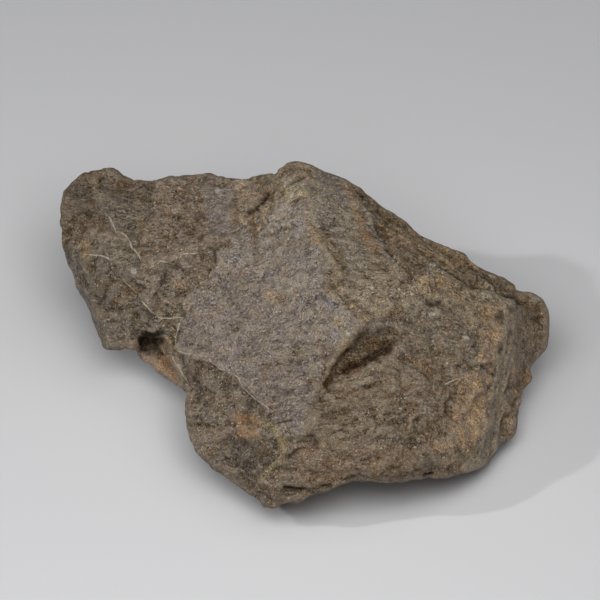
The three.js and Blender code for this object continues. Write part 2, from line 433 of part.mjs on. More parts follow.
// Halve every edge longer than the limit, until none is left.
function halveLongEdges(stone, limit) {
  for (let pass = 0; pass < 4; pass++) {
    const middles = new Map();
    const middle = (a, b) => {
      const name = Math.min(a, b) + "_" + Math.max(a, b);
      if (stone.points[a].distanceTo(stone.points[b]) <= limit) return null;
      if (!middles.has(name)) {
        middles.set(name, stone.points.push(stone.points[a].clone().lerp(stone.points[b], 0.5)) - 1);
      }
      return middles.get(name);
    };
    stone.triangles = stone.triangles.flatMap(([a, b, c]) => {
      const corners = [a, b, c];
      const halves = [middle(a, b), middle(b, c), middle(c, a)];
      const count = halves.filter((half) => half !== null).length;
      if (count === 0) return [corners];
      if (count === 3) {
        const [ab, bc, ca] = halves;
        return [[a, ab, ca], [ab, b, bc], [ca, bc, c], [ab, bc, ca]];
      }
      const turn = count === 1 ? halves.findIndex((half) => half !== null) : (halves.indexOf(null) + 1) % 3;
      const [p, q, r] = [0, 1, 2].map((i) => corners[(turn + i) % 3]);
      const [pq, qr] = [halves[turn], halves[(turn + 1) % 3]];
      if (count === 1) return [[p, pq, r], [pq, q, r]];
      return [[p, pq, r], [pq, q, qr], [pq, qr, r]];
    });
    if (middles.size === 0) return;
  }
}

function neighboursOf(stone) {
  const neighbours = stone.points.map(() => new Set());
  for (const [a, b, c] of stone.triangles) {
    neighbours[a].add(b).add(c);
    neighbours[b].add(c).add(a);
    neighbours[c].add(a).add(b);
  }
  return neighbours;
}

function normalsOf(stone) {
  const normals = stone.points.map(() => new THREE.Vector3());
  const [e, f] = [new THREE.Vector3(), new THREE.Vector3()];
  for (const [a, b, c] of stone.triangles) {
    e.subVectors(stone.points[b], stone.points[a]);
    f.subVectors(stone.points[c], stone.points[a]);
    e.cross(f);
    for (const i of [a, b, c]) normals[i].add(e);
  }
  return normals.map((normal) => normal.normalize());
}

// Ease every point towards its neighbours, which takes the knife edge off the arrises.
function easeArrises(stone, neighbours, held) {
  const eased = stone.points.map((point, i) => {
    if (held[i]) return point;
    const mean = new THREE.Vector3();
    for (const j of neighbours[i]) mean.add(stone.points[j]);
    return point.clone().lerp(mean.divideScalar(neighbours[i].size), easeShare);
  });
  stone.points = eased;
}

// A number between 0 and 1 that belongs to one cell of space.
function cellNumber(x, y, z, salt) {
  const value = Math.sin(x * 127.1 + y * 311.7 + z * 74.7 + salt * 53.3) * 43758.5453;
  return value - Math.floor(value);
}

// Smooth noise from -1 to 1, over lengths like size.
function noiseAt(point, size, seed) {
  return noise.noise(point.x / size + seed, point.y / size + seed, point.z / size + seed);
}

// Broken facets: each chip is a small plane of its own, tilted and set in or out.
function chipHeight(point, { size, height, tilt }) {
  const cell = point.clone().divideScalar(size);
  const base = cell.clone().floor();
  let nearest = Infinity;
  let chip = 0;
  for (const [i, j, k] of nearCells) {
    const [x, y, z] = [base.x + i, base.y + j, base.z + k];
    const dx = cell.x - x - cellNumber(x, y, z, 1);
    const dy = cell.y - y - cellNumber(x, y, z, 2);
    const dz = cell.z - z - cellNumber(x, y, z, 3);
    const away = dx * dx + dy * dy + dz * dz;
    if (away >= nearest) continue;
    nearest = away;
    const lean = [4, 5, 6].map((salt) => (cellNumber(x, y, z, salt) - 0.5) * 2 * tilt * size);
    chip = (cellNumber(x, y, z, 7) - 0.5) * 2 * height + lean[0] * dx + lean[1] * dy + lean[2] * dz;
  }
  return chip;
}

// Ledges where a steep face cuts the layers: each layer stands out a little over the next.
function ledgeHeight(point, normal) {
  const waver = noiseAt(point, ledges.waverSize, 2) * ledges.waver;
  const level = point.dot(layerNormal) / ledges.gap + waver;
  const steep = Math.sqrt(1 - Math.min(1, normal.dot(layerNormal) ** 2));
  const strength = Math.max(0, 0.5 + noiseAt(point, ledges.patchSize, 8));
  return (level - Math.floor(level) - 0.5) * ledges.depth * steep * strength;
}

// How far the rough surface stands out at a point: broad swells, bumps, chips of two sizes, and
// ledges. It dies away where a sheet stands nearly on edge over the board, so that no fold closes.
function roughness(point, normal) {
  const swell = noiseAt(point, swells.size, swells.seed) * swells.height;
  const bump = noiseAt(point, bumps.size, bumps.seed) * bumps.height;
  const chips = chipHeight(point, coarseChips) + chipHeight(point, fineChips);
  const broken = (bump + chips + ledgeHeight(point, normal)) * (1 - calmShare * calmness(point));
  return (swell + broken) * THREE.MathUtils.smoothstep(Math.abs(normal.dot(boardNormal)), ...edgeOn);
}

// The great face and the roof beside it broke cleaner than the rest.
function calmness(point) {
  const [u, v, w] = toBoard(point.toArray());
  if (w < calmLowest) return 0;
  const apart = calmPlaces.map(([cu, cv, reach]) => Math.hypot(u - cu, v - cv) / reach);
  return 1 - THREE.MathUtils.smoothstep(Math.min(...apart), 0.6, 1);
}

function pitDepth(point) {
  const [u, v] = toBoard(point.toArray());
  let depth = 0;
  for (const [pu, pv, reach, deep] of pits) {
    const t = Math.hypot(u - pu, v - pv) / reach;
    if (t < 1) depth += deep * (1 - t * t) ** 2;
  }
  return depth;
}

function makeStone() {
  const rimPoints = along([...rim, rim[0]], rimStep);
  const stone = sewSheets(rimPoints);
  const onRim = (i) => i < rimPoints.length;
  halveLongEdges(stone, longestEdge);
  const onFlat = stone.points.map((point) => point.z < 1e-6);
  easeArrises(stone, neighboursOf(stone), onFlat.map((flat, i) => flat || onRim(i)));
  const normals = normalsOf(stone);
  stone.points.forEach((point, i) => {
    if (onFlat[i]) return;
    const pit = normals[i].dot(boardNormal) > 0 ? pitDepth(point) : 0;
    const out = roughness(point, normals[i]) * (onRim(i) ? rimShare : 1) - pit;
    const wander = onRim(i) ? noiseAt(point, wanderSize, 0) * rimWander : 0;
    point.addScaledVector(normals[i], out);
    point.addScaledVector(boardNormal, wander);
    point.z = Math.max(point.z, lowestRough);
  });
  return stone;
}

const stone = makeStone();
const [left, , right] = extentOf(rim);
const scale = stoneWidth / (right - left);

const geometry = new THREE.BufferGeometry();
const positions = stone.points.flatMap((point) => point.toArray());
geometry.setAttribute("position", new THREE.Float32BufferAttribute(positions, 3));
geometry.setIndex(stone.triangles.flat());
geometry.scale(scale, scale, scale);
geometry.computeBoundingBox();
const middle = geometry.boundingBox.getCenter(new THREE.Vector3());
geometry.translate(-middle.x, -middle.y, 0);
geometry.computeVertexNormals();

const stoneMaterial = new THREE.MeshStandardMaterial({ color: 0x6f6253, roughness: 0.82, metalness: 0.0 });
const meteorite = new THREE.Mesh(geometry, stoneMaterial);
meteorite.name = "meteorite";

const group = new THREE.Group();
group.add(meteorite);

export default group;
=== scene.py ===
import math
import bmesh
import bpy
import numpy as np
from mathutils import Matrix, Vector, noise


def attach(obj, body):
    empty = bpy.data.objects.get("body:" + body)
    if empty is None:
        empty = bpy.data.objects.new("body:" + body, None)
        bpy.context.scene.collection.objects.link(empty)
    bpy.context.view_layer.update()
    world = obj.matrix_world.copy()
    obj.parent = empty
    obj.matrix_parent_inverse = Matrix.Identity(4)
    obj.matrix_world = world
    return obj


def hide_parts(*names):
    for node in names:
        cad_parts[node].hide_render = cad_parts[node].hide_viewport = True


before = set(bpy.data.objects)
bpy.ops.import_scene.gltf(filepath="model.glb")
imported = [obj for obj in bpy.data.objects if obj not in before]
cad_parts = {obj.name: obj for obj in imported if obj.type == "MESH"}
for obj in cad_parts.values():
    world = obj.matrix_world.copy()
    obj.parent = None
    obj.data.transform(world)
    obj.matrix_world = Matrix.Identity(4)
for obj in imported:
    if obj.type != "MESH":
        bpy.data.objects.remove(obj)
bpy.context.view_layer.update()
mm = 0.001

# The stone is described on a board that leans back by 45 degrees: u runs across it, v up it and
# w out of it, all in millimetres, as they do in the solid's own source.
board = {
    "tilt": math.radians(45),
    "originBack": 18.765,  # the board's foot lies this far behind the stone's middle
    "originSide": 0.0019,
}
boardOut = np.array([0, -math.cos(board["tilt"]), math.sin(board["tilt"])])
layerUp = np.array([-0.04, -0.26, 0.96])  # the beds lie near level
layerUp /= np.linalg.norm(layerUp)


def onBoard(points):
    c, s = math.cos(board["tilt"]), math.sin(board["tilt"])
    x, y, z = points[:, 0] + board["originSide"], points[:, 1] + board["originBack"], points[:, 2]
    return np.stack([x, y * s + z * c, z * s - y * c], 1)


def offBoard(u, v, w):
    c, s = math.cos(board["tilt"]), math.sin(board["tilt"])
    return Vector((u - board["originSide"], v * s - w * c - board["originBack"], v * c + w * s)) * mm


def smoothStep(low, high, value):
    t = np.clip((value - low) / (high - low), 0, 1)
    return t * t * (3 - 2 * t)


# How the solid's mesh is refined; sizes in millimetres.
stone = {
    "sameReach": 1.9,  # faces this near are brought into one plane
    "sameness": 0.24,  # if their normals differ by less than this
    "patchSameness": 0.4,  # or by less than this within one patch
    "acrossPatches": 0.08,  # how much the faces of another patch count
    "planeRounds": 6,
    "fitRounds": 12,
    "mostMove": 0.5,
    "easingRounds": (1, 0),  # after each halving of the edges
    "easeIn": 0.5,
    "easeOut": -0.53,  # a little more than came in, so the stone doesn't shrink
    "wearRounds": 14,  # acute corners are worn
    "wearShare": 0.5,
    "sharpest": 0.08,  # where a point stands further than this from its neighbours
    "longestEdge": 0.47,  # what is still longer is halved once more
    "leastHeight": 0.0,  # nothing goes under the surface it rests on
}

# What the surface is made of at each size: facets left by the break, then grain.
breakage = {
    "facets": ((4.2, 0.14, 0.20), (1.9, 0.05, 0.12), (0.9, 0.015, 0.08)),  # size, depth, tilt
    "fractal": ((5.0, 0.08), (1.2, 0.02)),  # size, depth
    "ledgeGap": 1.3,
    "ledgeDepth": 0.15,
    "ledgeWander": (4.0, 0.6),  # size and share
    "warpSize": 1.8,
    "warp": 0.22,
    "jitter": 0.2,  # how far the drawn lines stray
    "plainRoughness": 0.9,  # of the break, outside the patches
    "thinRounds": 14,
    "thin": (0.72, 0.95),
    "thinRelief": 0.1,  # how much of the relief an acute edge has
    "normalRounds": 3,  # the relief rises along eased normals
    "upperSide": (-0.05, 0.12),  # how far a face has to look out of the board
    "rimSide": (0.1, 0.4),  # and how little at the rim
    "rimRounds": 4,  # the outer rim is a little worn
    "rimEasing": 0.5,
    "rimLift": 0.3,  # and given back what that takes
    "wornLift": 0.1,
    "thinLift": 0.36,
    "hornRounds": 3,
    "mostProud": 0.27,  # no horn of the rim stands out more than this
    "evenRounds": 6,  # of easing, to find what stands out and what lies in
    "markDepth": 0.08,  # what stands out or lies in this much is fully marked
    # shade is painted into the cracks, fully from this depth
    "darkDepth": 0.4,  # a crack this deep is quite dark
    "scarpSharpness": 0.12,
    "farAway": 1.5,  # distances to a grain or a vein stop here
}

# Here and below, lines and outlines are places on the board: u and v by turns.
# Lines where the left side stands proud of the right: height, reach, places.
scarps = {
    "slabEdge": (0.5, 1.4, [-18.6, 40.4, -19, 38.2, -18.9, 36.5, -20.1, 34.5, -20.6, 33]),
    "lobeCrease": (0.3, 1, [-27, 41.1, -26.5, 38.6, -25.9, 37.4]),
    "lobeFold": (0.35, 1.2, [-24.8, 35.8, -23.9, 34.8, -22.8, 33.5, -21.6, 32.1, -20.5, 30.5]),
    "lobeBrow": (0.3, 1.2, [-27.5, 30.1, -26.5, 30.6, -25, 30.5, -23.2, 29.8, -22.8, 29]),
    "noseEdge": (0.22, 0.9, [-23.2, 28.5, -21.2, 26.1, -20.4, 24.9, -19.5, 24, -18.5, 23.4]),
    "slabFront": (0.35, 1.4, [-19.2, 29.6, -18.2, 30.2, -17.2, 30.4, -15.5, 31, -13, 31.2, -11, 31.9]),
    "greatLeft": (0.3, 1.2, [-10.6, 30.5, -11.4, 29.2, -12.1, 28.2, -13, 27, -14.5, 26, -15.1, 25,
        -15.4, 23.8]),
    "greatLower": (0.3, 0.9, [-16.2, 19.2, -14.2, 18.6, -12.4, 18.5, -11.9, 17.8, -10.8, 17, -8.5, 15.9,
        -7.8, 15, -5.8, 12.8, -5, 12]),
    "peakLeft": (0.3, 1, [-2.6, 42, -3.2, 40.8, -3.8, 39.2, -4, 37.4, -4.5, 35]),
    "peakLedge": (0.2, 1, [-2.9, 34.8, -1.8, 35, -0.5, 35.4, 0.5, 35]),
    "greatRidge": (0.22, 0.9, [-7.2, 30.6, -6, 30.9, -5.2, 32, -5, 33.2]),
    "greatCrease": (0.15, 1.2, [-4.8, 30.2, -4.2, 29, -3.6, 27.4, -3, 26.5]),
    "keelStep": (0.6, 1.2, [7.4, 22.2, 5.6, 24.3, 3.2, 27.1, 2.8, 28.8, 4, 30.2, 2.8, 32.3, 0.8, 34.6,
        0.4, 37.2, -0.3, 39.6]),
    "roofBreak": (0.14, 1, [3.6, 27.8, 4.6, 28, 5.5, 27.9, 6.8, 27.5]),
    "ridgeDrop": (0.2, 1, [12, 30.1, 11, 31, 10, 32.2]),
    "stepEdge": (0.4, 1.2, [15, 25.1, 16, 25.2, 17.2, 25.4, 19, 25.5]),
    "bedOne": (0.18, 0.7, [16.5, 18.9, 18, 19.1, 19.8, 19.5, 21.8, 19.8]),
    "bedTwo": (0.18, 0.7, [17.2, 17.1, 19, 17.4, 20.5, 17.9, 22, 18]),
    "broadBedOne": (0.2, 0.8, [1.8, 10.4, 4, 10.4, 5.8, 10.5, 7.2, 10.9, 8.5, 11.9]),
    "broadBedTwo": (0.18, 0.8, [9.2, 12.8, 10.2, 13.6, 11.5, 14.1, 12.5, 14.4]),
    "broadBedThree": (0.18, 0.8, [10, 10.8, 11.8, 10.9, 13.5, 11, 15, 10.6]),
    "broadBedFour": (0.16, 0.7, [4, 9.1, 5.8, 9.5, 7.5, 10.2]),
    "bandEdge": (0.7, 1.3, [12.2, 20.4, 9.5, 19.2, 7.5, 18, 5.5, 17, 3.8, 15.7, 2.1, 14.3]),
    "scallopOne": (0.25, 0.8, [-4.5, 14.4, -3.5, 14.8, -1.8, 14.5, -0.5, 15]),
    "scallopTwo": (0.2, 0.8, [-5.2, 17.8, -3.5, 18, -1.8, 17.8, 0.2, 18.2]),
    "scallopThree": (0.2, 0.7, [-5.2, 12, -4, 12.5, -2.9, 12.8, -2.9, 13.8]),
    "lipStep": (0.3, 0.8, [-5.2, 2.2, -3.5, 2.1, -1.5, 2.1, 0.2, 1.9, 2.2, 2.2, 4.2, 2.5]),
}

# Arrises that stand up between two faces: height, reach, places.
ridges = {
    "keel": (0.3, 1.2, [-0.4, 39.5, 0.3, 37.1, 0.6, 34.5, 2.6, 32.1, 3.9, 30, 2.6, 28.9, 3, 27, 5.4, 24.1,
        7.2, 22, 5.2, 19.8, 3.2, 17, 2, 14.4, 1.4, 10.2, -0.4, 6.5]),
    "slabRidge": (0.3, 1.2, [-8.8, 38.4, -9.9, 34.8, -11.1, 31.8, -12.2, 28.8, -14, 25.9, -16, 23.2]),
    "sideEdge": (0.4, 1.2, [25.4, 24.8, 23.9, 18.1, 23.1, 12.3, 21.3, 5.2]),
    "roofEdge": (0.3, 1.1, [5.1, 40, 6.8, 36.2, 8.4, 32.2, 11.9, 30.2]),
    "crest": (0.3, 1, [15.8, 29.5, 18, 28, 22, 26.5, 25.5, 25.1]),
    "cornerEdge": (0.25, 1.2, [-16, 19.6, -11.4, 17.6, -8.4, 15.4, -6.2, 12.6, -2.6, 9.6]),
    "lobeEdge": (0.22, 1, [-29.6, 32.6, -27.4, 31.9, -25.2, 31.2, -22.6, 28.8, -19.4, 24.6]),
    "broadFootEdge": (0.22, 1, [-2.8, 5.2, 2.6, 4.6, 9.6, 4.9, 15.2, 5.6, 20.2, 5.8]),
}

# Cracks: depth, half width, places.
cracks = {
    "besidePeak": (0.4, 0.25, [-4.6, 38.8, -5.4, 37.8, -7.1, 36.4]),
    "peak": (0.35, 0.2, [-1.9, 40.1, -1.1, 40.5, 0.1, 40.9]),
    "foot": (0.45, 0.16, [-3.1, 10.2, -2.2, 10.4, -1.4, 10.6]),
    "lip": (0.55, 0.26, [-2.5, 2.2, -1, 1.9, 0.2, 1.9, 2, 2.1, 3.5, 2.2]),
    "cornerLine": (0.2, 0.16, [-14.5, 10.1, -13, 9.8, -11.2, 9.9]),
    "broadLeft": (0.35, 0.18, [-2.1, 5.6, -1, 6.8, 0.1, 7.2]),
    "broadLeftUp": (0.3, 0.16, [-0.8, 7.9, 0.5, 7.9, 1.5, 8.1]),
    "broadPit": (0.4, 0.22, [7.4, 14.5, 8.1, 14.8, 8.6, 15]),
    "broadCorner": (0.3, 0.18, [1.9, 13.1, 3, 13.1]),
    "broadFoot": (0.4, 0.2, [15, 3.4, 16.1, 3.8]),
    "sideCrack": (0.3, 0.16, [22.1, 17.4, 22.9, 16.6, 23.8, 15.9]),
    "roof": (0.22, 0.12, [4, 27.9, 4.8, 28, 5.6, 27.9, 6.6, 27.6]),
    "ridgeCrack": (0.3, 0.18, [10.2, 32, 11.1, 31.1, 11.9, 30.2]),
    "trench": (0.2, 0.2, [16.8, 29.4, 18, 28.9, 19.2, 27.9, 20.5, 27.1, 22, 27]),
    "flakeCrack": (0.25, 0.2, [22.2, 28.2, 23.5, 27.4, 24.4, 26.6, 25.4, 25.9, 26.5, 25.9]),
    "stepCrack": (0.35, 0.2, [15.4, 25.4, 16.1, 25.1, 17.2, 25.4]),
    "scallopCrack": (0.25, 0.18, [-3.4, 14, -2.4, 14.1, -1.2, 14.5]),
    "bandCrack": (0.2, 0.2, [6.5, 19.6, 7.2, 19.1]),
    "bandEnd": (0.3, 0.2, [9.8, 19.9, 10.8, 20.1, 11.5, 20.2]),
    "recessTop": (0.3, 0.2, [-11.8, 32.1, -11.2, 31.2, -11.4, 30.2]),
    "recessMiddle": (0.25, 0.2, [-16, 26, -15, 26.6, -14.2, 27]),
    "knobGap": (0.2, 0.2, [26.8, 25.5, 27.4, 25.2, 28, 25.5]),
    "bedCrack": (0.2, 0.12, [17.8, 19, 19, 19.2]),
}

# Small round hollows: depth, radius, place.
pits = {
    "lobePitLeft": (0.35, 0.9, (-26.6, 29.4)),
    "lobePitRight": (0.35, 0.4, (-24.4, 27.6)),
    "lobePitLow": (0.35, 0.8, (-21, 23.4)),
    "sidePit": (0.4, 0.5, (20.2, 5.9)),
    "recessPit": (0.3, 0.5, (-17.2, 24.6)),
    "scallopPit": (0.3, 0.6, (-2.3, 14)),
}

# Where the break runs in streaks: their direction in degrees, length, width, depth, outline.
streaks = {
    "broadBeds": (18, 4.2, 0.6, 0.34, [1.8, 14.9, 8.2, 16.5, 15.1, 14.9, 15.1, 9.2, 7, 8, 1.8, 8.6]),
    "stepBeds": (8, 3.4, 0.5, 0.28, [12, 23, 22, 23.2, 22.2, 16.5, 17, 16.5, 12.6, 19.2]),
    "sideStreaks": (77, 5, 0.4, 0.34, [25.1, 25.5, 26.1, 18, 24.5, 8, 22, 4.2, 20.8, 4.9, 22.5, 9.2,
        23.8, 15.5, 24.9, 20.5]),
    "browStreaks": (-36, 4, 0.5, 0.32, [5.1, 40.1, 8.9, 37.4, 17, 33, 21.4, 30.2, 26.5, 27.5, 22, 27.4,
        17, 29.5, 12, 31.8, 8.5, 34, 6.8, 37.4]),
    "peakLines": (8, 2.5, 0.3, 0.16, [-4.2, 33.2, 1.2, 33.2, 1.2, 30.9, -4.2, 30.9]),
    "greatLow": (10, 3, 0.6, 0.16, [-5.8, 18.6, 0.8, 18.6, -0.5, 11.1, -5.2, 11.1]),
}

# Pale veins, in sets whose lines don't cross.
veins = [
    [
        [-24.5, 35.8, -23.6, 34.4, -22.5, 33.5, -21.2, 31.8, -20.4, 30.5, -19.5, 29.5],
        [-15.2, 23.4, -15.8, 22.4, -16.5, 20.8, -16.2, 19.4, -14.9, 19, -14, 18.6, -12, 18.5, -11.6, 17.8,
         -10.2, 16.8, -9, 16.4, -8.1, 15.8, -7.6, 14.6, -6, 13.1, -4.5, 12],
        [-27.3, 31.2, -25.5, 31, -24.2, 30.6],
        [17.9, 15.1, 19, 15.6, 20.8, 16],
    ],
    [
        [-22.9, 28.2, -21.4, 26.4, -20.4, 25.5, -18.9, 23.8, -18, 23.2, -15.8, 23.5, -15.2, 23.4],
        [-19.2, 29.5, -18, 30.4, -17, 30.2, -15.5, 31, -11.8, 31.5],
        [-16.8, 19, -16, 17.8, -15.2, 16.5, -14.8, 15.5, -14.1, 14.4],
        [-11, 30.1, -12.4, 27.8, -13.4, 26.9],
    ],
]

# Colours of the stone, as a monitor shows them, with the browns of painted shade and the grey of a
# painted glint among them.
palette = {
    "umber": (110, 92, 72),
    "purpleGrey": (129, 117, 110),
    "mauve": (110, 94, 79),
    "oliveGrey": (121, 106, 86),
    "slate": (102, 91, 76),
    "rust": (128, 99, 70),
    "tan": (132, 107, 78),
    "paleGrey": (133, 123, 115),
    "darkUmber": (91, 72, 52),
    "charcoal": (89, 77, 63),
    "shadowBrown": (82, 61, 36),
    "deepShadowBrown": (50, 34, 20),
    "straw": (154, 138, 87),
    "ochre": (163, 134, 84),
    "orange": (150, 110, 68),
    "rustDeep": (119, 78, 49),
    "sand": (163, 136, 99),
    "pale": (181, 168, 142),
    "greyOlive": (130, 119, 103),
    "bronze": (112, 90, 60),
    "glintGrey": (140, 131, 126),
}

# Patches of the upper side: colour, how light it is, how rough the break is there, how soft the
# patch's edge is, and its outline on the board. On the faces that look right (sideRidge, broadRight,
# slopeFar, tanFacet, side, lumps) the lightness is partly painted light, for light from the right;
# the band's shadow and the hollow under the lobe are painted shade.
patches = {
    "greatFace": ("purpleGrey", 1.04, 0.5, 0.36, [-8, 34.8, -3.6, 34.5, 1.4, 34, 2.8, 31.5, 2.2, 26.8,
        5.1, 25.5, 6.5, 23, 5.1, 20.2, 2.8, 17.2, 1.8, 13.6, 1, 11, -0.8, 8, -3.5, 9.9, -7.6, 14.6,
        -10.2, 16.8, -16.2, 19.4, -15.2, 23.4, -13.5, 25.5, -11, 30.2]),
    "greatTop": ("paleGrey", 1.18, 0.5, 0.8, [-8, 34.8, -3.6, 34.5, 1.4, 34, 2.6, 31, 2.1, 26.8, -2, 26.4,
        -6, 28.2, -9.6, 30.5]),
    # painted glint: a paler, bluer grey where light glints off the great face
    "glintPatch": ("glintGrey", 1.13, 0.9, 0.41, [1.8, 26, 5.1, 26, 6, 22.8, 3.2, 19.9, 0.6, 20.5, 0.2, 23.5]),
    "greatLow": ("purpleGrey", 1.05, 0.9, 0.32, [-5.2, 18.5, 1.5, 18.2, 1, 11, -0.8, 8, -3.2, 10,
        -5.2, 12.8]),
    "lobeTop": ("slate", 0.95, 0.4, 0.27, [-25.5, 40.5, -19.2, 40, -18.9, 38.2, -19.2, 36.1, -20.5, 33.8,
        -23.5, 34.2, -25, 36, -25.8, 38.2]),
    "lobeLeft": ("bronze", 0.65, 0.7, 0.27, [-31.4, 39.2, -28.6, 42, -27, 42, -26.4, 37.4, -25.1, 35.2,
        -28, 33.2, -31.4, 32.5]),
    "lobeFace": ("oliveGrey", 0.36, 0.5, 0.27, [-29.8, 40, -27.2, 40, -26.8, 36.2, -29.8, 36.2]),
    "lobeLow": ("slate", 0.91, 0.8, 0.27, [-30.2, 32.2, -25.5, 34.2, -22.5, 33, -19.5, 29.2, -16.8, 24,
        -16.2, 21, -20.5, 20.6, -25.5, 19, -26.5, 22.8, -28.2, 27.5]),
    "lobeStrip": ("umber", 0.48, 0.25, 0.18, [-31.2, 33, -29.5, 32.6, -28, 28.6, -25.8, 23.2, -25, 19.5,
        -26.9, 19.5, -27.9, 24.2, -30.6, 31.1]),
    "slab": ("mauve", 1.52, 1.1, 0.23, [-18.8, 41.6, -13, 42, -7.8, 41.6, -8.5, 38, -10.2, 33.8,
        -11.5, 31.2, -15.5, 30.9, -19.2, 29.8, -20.4, 33, -19, 36.2]),
    "slabPolish": ("purpleGrey", 1.08, 0.25, 0.36, [-12.4, 40.2, -8.8, 39.5, -8.8, 33.2, -11.5, 32.5,
        -12.5, 36.1]),
    "recess": ("mauve", 1.48, 1.2, 0.18, [-19.2, 29.4, -15.5, 30.9, -11.5, 31.5, -11, 30.2, -13, 27.4,
        -14.2, 25.5, -15.2, 23.5, -18, 23.2, -20.4, 25.5, -21.2, 28.2]),
    "sideRidge": ("oliveGrey", 2.51, 0.8, 0.27, [-8.5, 42, -1.8, 42.4, -3.2, 37.4, -5, 34.5, -8, 34.8,
        -8.5, 37.4]),
    "peak": ("tan", 0.93, 0.8, 0.32, [-3, 43.4, 0.2, 43.4, 1.8, 41, 0.5, 38.2, -2.5, 38.2, -3.5, 39.8]),
    "peakFace": ("paleGrey", 1.39, 0.5, 0.27, [-3.8, 38, 0.2, 38, 0, 34.8, -3.8, 34.2]),
    "corner": ("mauve", 0.89, 0.9, 0.23, [-16.6, 19, -10.2, 16.6, -7.6, 14.5, -4.5, 11.9, -2.2, 9.2,
        -5, 3.5, -6.8, 1, -13, 5, -15.8, 9.9, -15.6, 14.2, -17, 17.4]),
    "cornerRust": ("orange", 1.05, 1, 0.36, [-9, 11.2, -5.6, 11.8, -5.2, 8.4, -8, 7.8]),
    "cornerDark": ("charcoal", 0.81, 1, 0.23, [-9.5, 8.2, -3.2, 8.4, -3.8, 5.5, -6, 2.8, -9.2, 4.8]),
    "broad": ("umber", 1.25, 0.8, 0.27, [2.2, 14.2, 5.1, 17.2, 12, 19.9, 17, 19.2, 23.2, 19.9, 24.5, 18,
        23.2, 10.5, 20.2, 4.5, 15.8, 2, 5.8, 1.6, -0.5, 1.6, -3.5, 2.2, -3.5, 5.5, -0.5, 8, 1, 11]),
    "broadRight": ("tan", 2.57, 0.6, 0.63, [19.2, 16.2, 23.2, 16.5, 23, 9.2, 20.6, 5, 14.8, 4.8, 17.2, 8.6,
        18.6, 12.4]),
    "broadFoot": ("rust", 1.08, 0.9, 0.45, [-0.5, 7, 15.8, 6.6, 15.8, 3, 3.2, 2.4, -1, 2.6]),
    "bandShadow": ("shadowBrown", 1.4, 0.9, 0.5, [2, 13.8, 2.5, 16.5, 5.1, 20, 7.8, 21, 10.4, 21.1,
        10.8, 20.4, 7.8, 17.6, 4.8, 15]),
    "roof": ("oliveGrey", 0.95, 0.4, 0.27, [0.5, 43, 5.2, 40.5, 7.8, 36.8, 10.2, 33, 12, 30.2, 5.8, 27.9,
        3.2, 29.2, 2.2, 33, 0.2, 38]),
    "roofGrey": ("greyOlive", 1.24, 0.4, 0.3, [1, 40.2, 4.6, 39.4, 6.6, 36, 7.6, 33, 9, 30.6, 5, 29.4,
        3.4, 32.4, 1.6, 35.2]),
    "roofLow": ("oliveGrey", 1.59, 0.7, 0.36, [5.1, 27.8, 12, 30.1, 18.2, 27.2, 25, 25, 22, 24.8, 14.5, 25,
        8.5, 22.8, 5.2, 25.5]),
    "step": ("oliveGrey", 1.04, 0.8, 0.27, [6, 21.8, 8.5, 23, 15.2, 25, 22.2, 24.9, 22.2, 16.5, 17, 19,
        12, 20, 11.8, 21.5, 7.8, 21]),
    "slope": ("bronze", 1.2, 0.9, 0.23, [5.2, 41.6, 9, 39.8, 12.5, 36.5, 22.5, 31.6, 27, 27, 25.2, 25.2,
        18.9, 27.9, 15.8, 29.4, 11.9, 30.2, 10.1, 33, 7.8, 37]),
    "slopeFar": ("bronze", 1.95, 0.9, 0.36, [12, 35.2, 22.5, 31, 22, 29.5, 18.9, 29.6, 14.5, 31.1,
        11.5, 33.2]),
    "tanFacet": ("tan", 2, 0.5, 0.23, [22.2, 25.1, 24.9, 25.1, 24.2, 18.2, 22, 17.8]),
    "side": ("oliveGrey", 1.92, 0.3, 0.18, [24.8, 25.1, 26.5, 23, 26.2, 15.5, 25.2, 13, 24.5, 7.4,
        20.8, 3.4, 20, 5, 22.8, 10.5, 24.2, 18]),
    "knob": ("bronze", 1.14, 0.35, 0.23, [26, 27.2, 31.8, 26.8, 31.8, 20, 28.5, 16.6, 26, 15.8, 26.2, 23]),
    "lumps": ("darkUmber", 3.12, 0.8, 0.23, [25.8, 17.2, 29.4, 17, 28.9, 13.6, 27.2, 12.6, 27.2, 7, 24.8, 7,
        25.2, 13]),
    "belly": ("orange", 1.15, 0.3, 0.23, [-20.9, 20, -17, 20.2, -16, 19, -15, 15, -14, 13.4, -18, 13.6,
        -21.2, 18]),
    # painted shade: the dark hollow under the lobe
    "undercutShade": ("deepShadowBrown", 0.08, 0.8, 0.2, [-21.6, 21.4, -20.5, 21.9, -18, 21.6, -16.6, 20.4,
        -16.4, 18.6, -18.2, 18.2, -20.2, 19.2]),
}

# All patches are faces of the break, but for these, which lie on a face.
onFaces = (
    "greatTop", "glintPatch", "greatLow", "lobeStrip", "slabPolish", "cornerRust", "broadRight",
    "broadFoot", "bandShadow", "roofGrey", "slopeFar", "belly", "undercutShade",
)
planes = [name for name in patches if name not in onFaces]
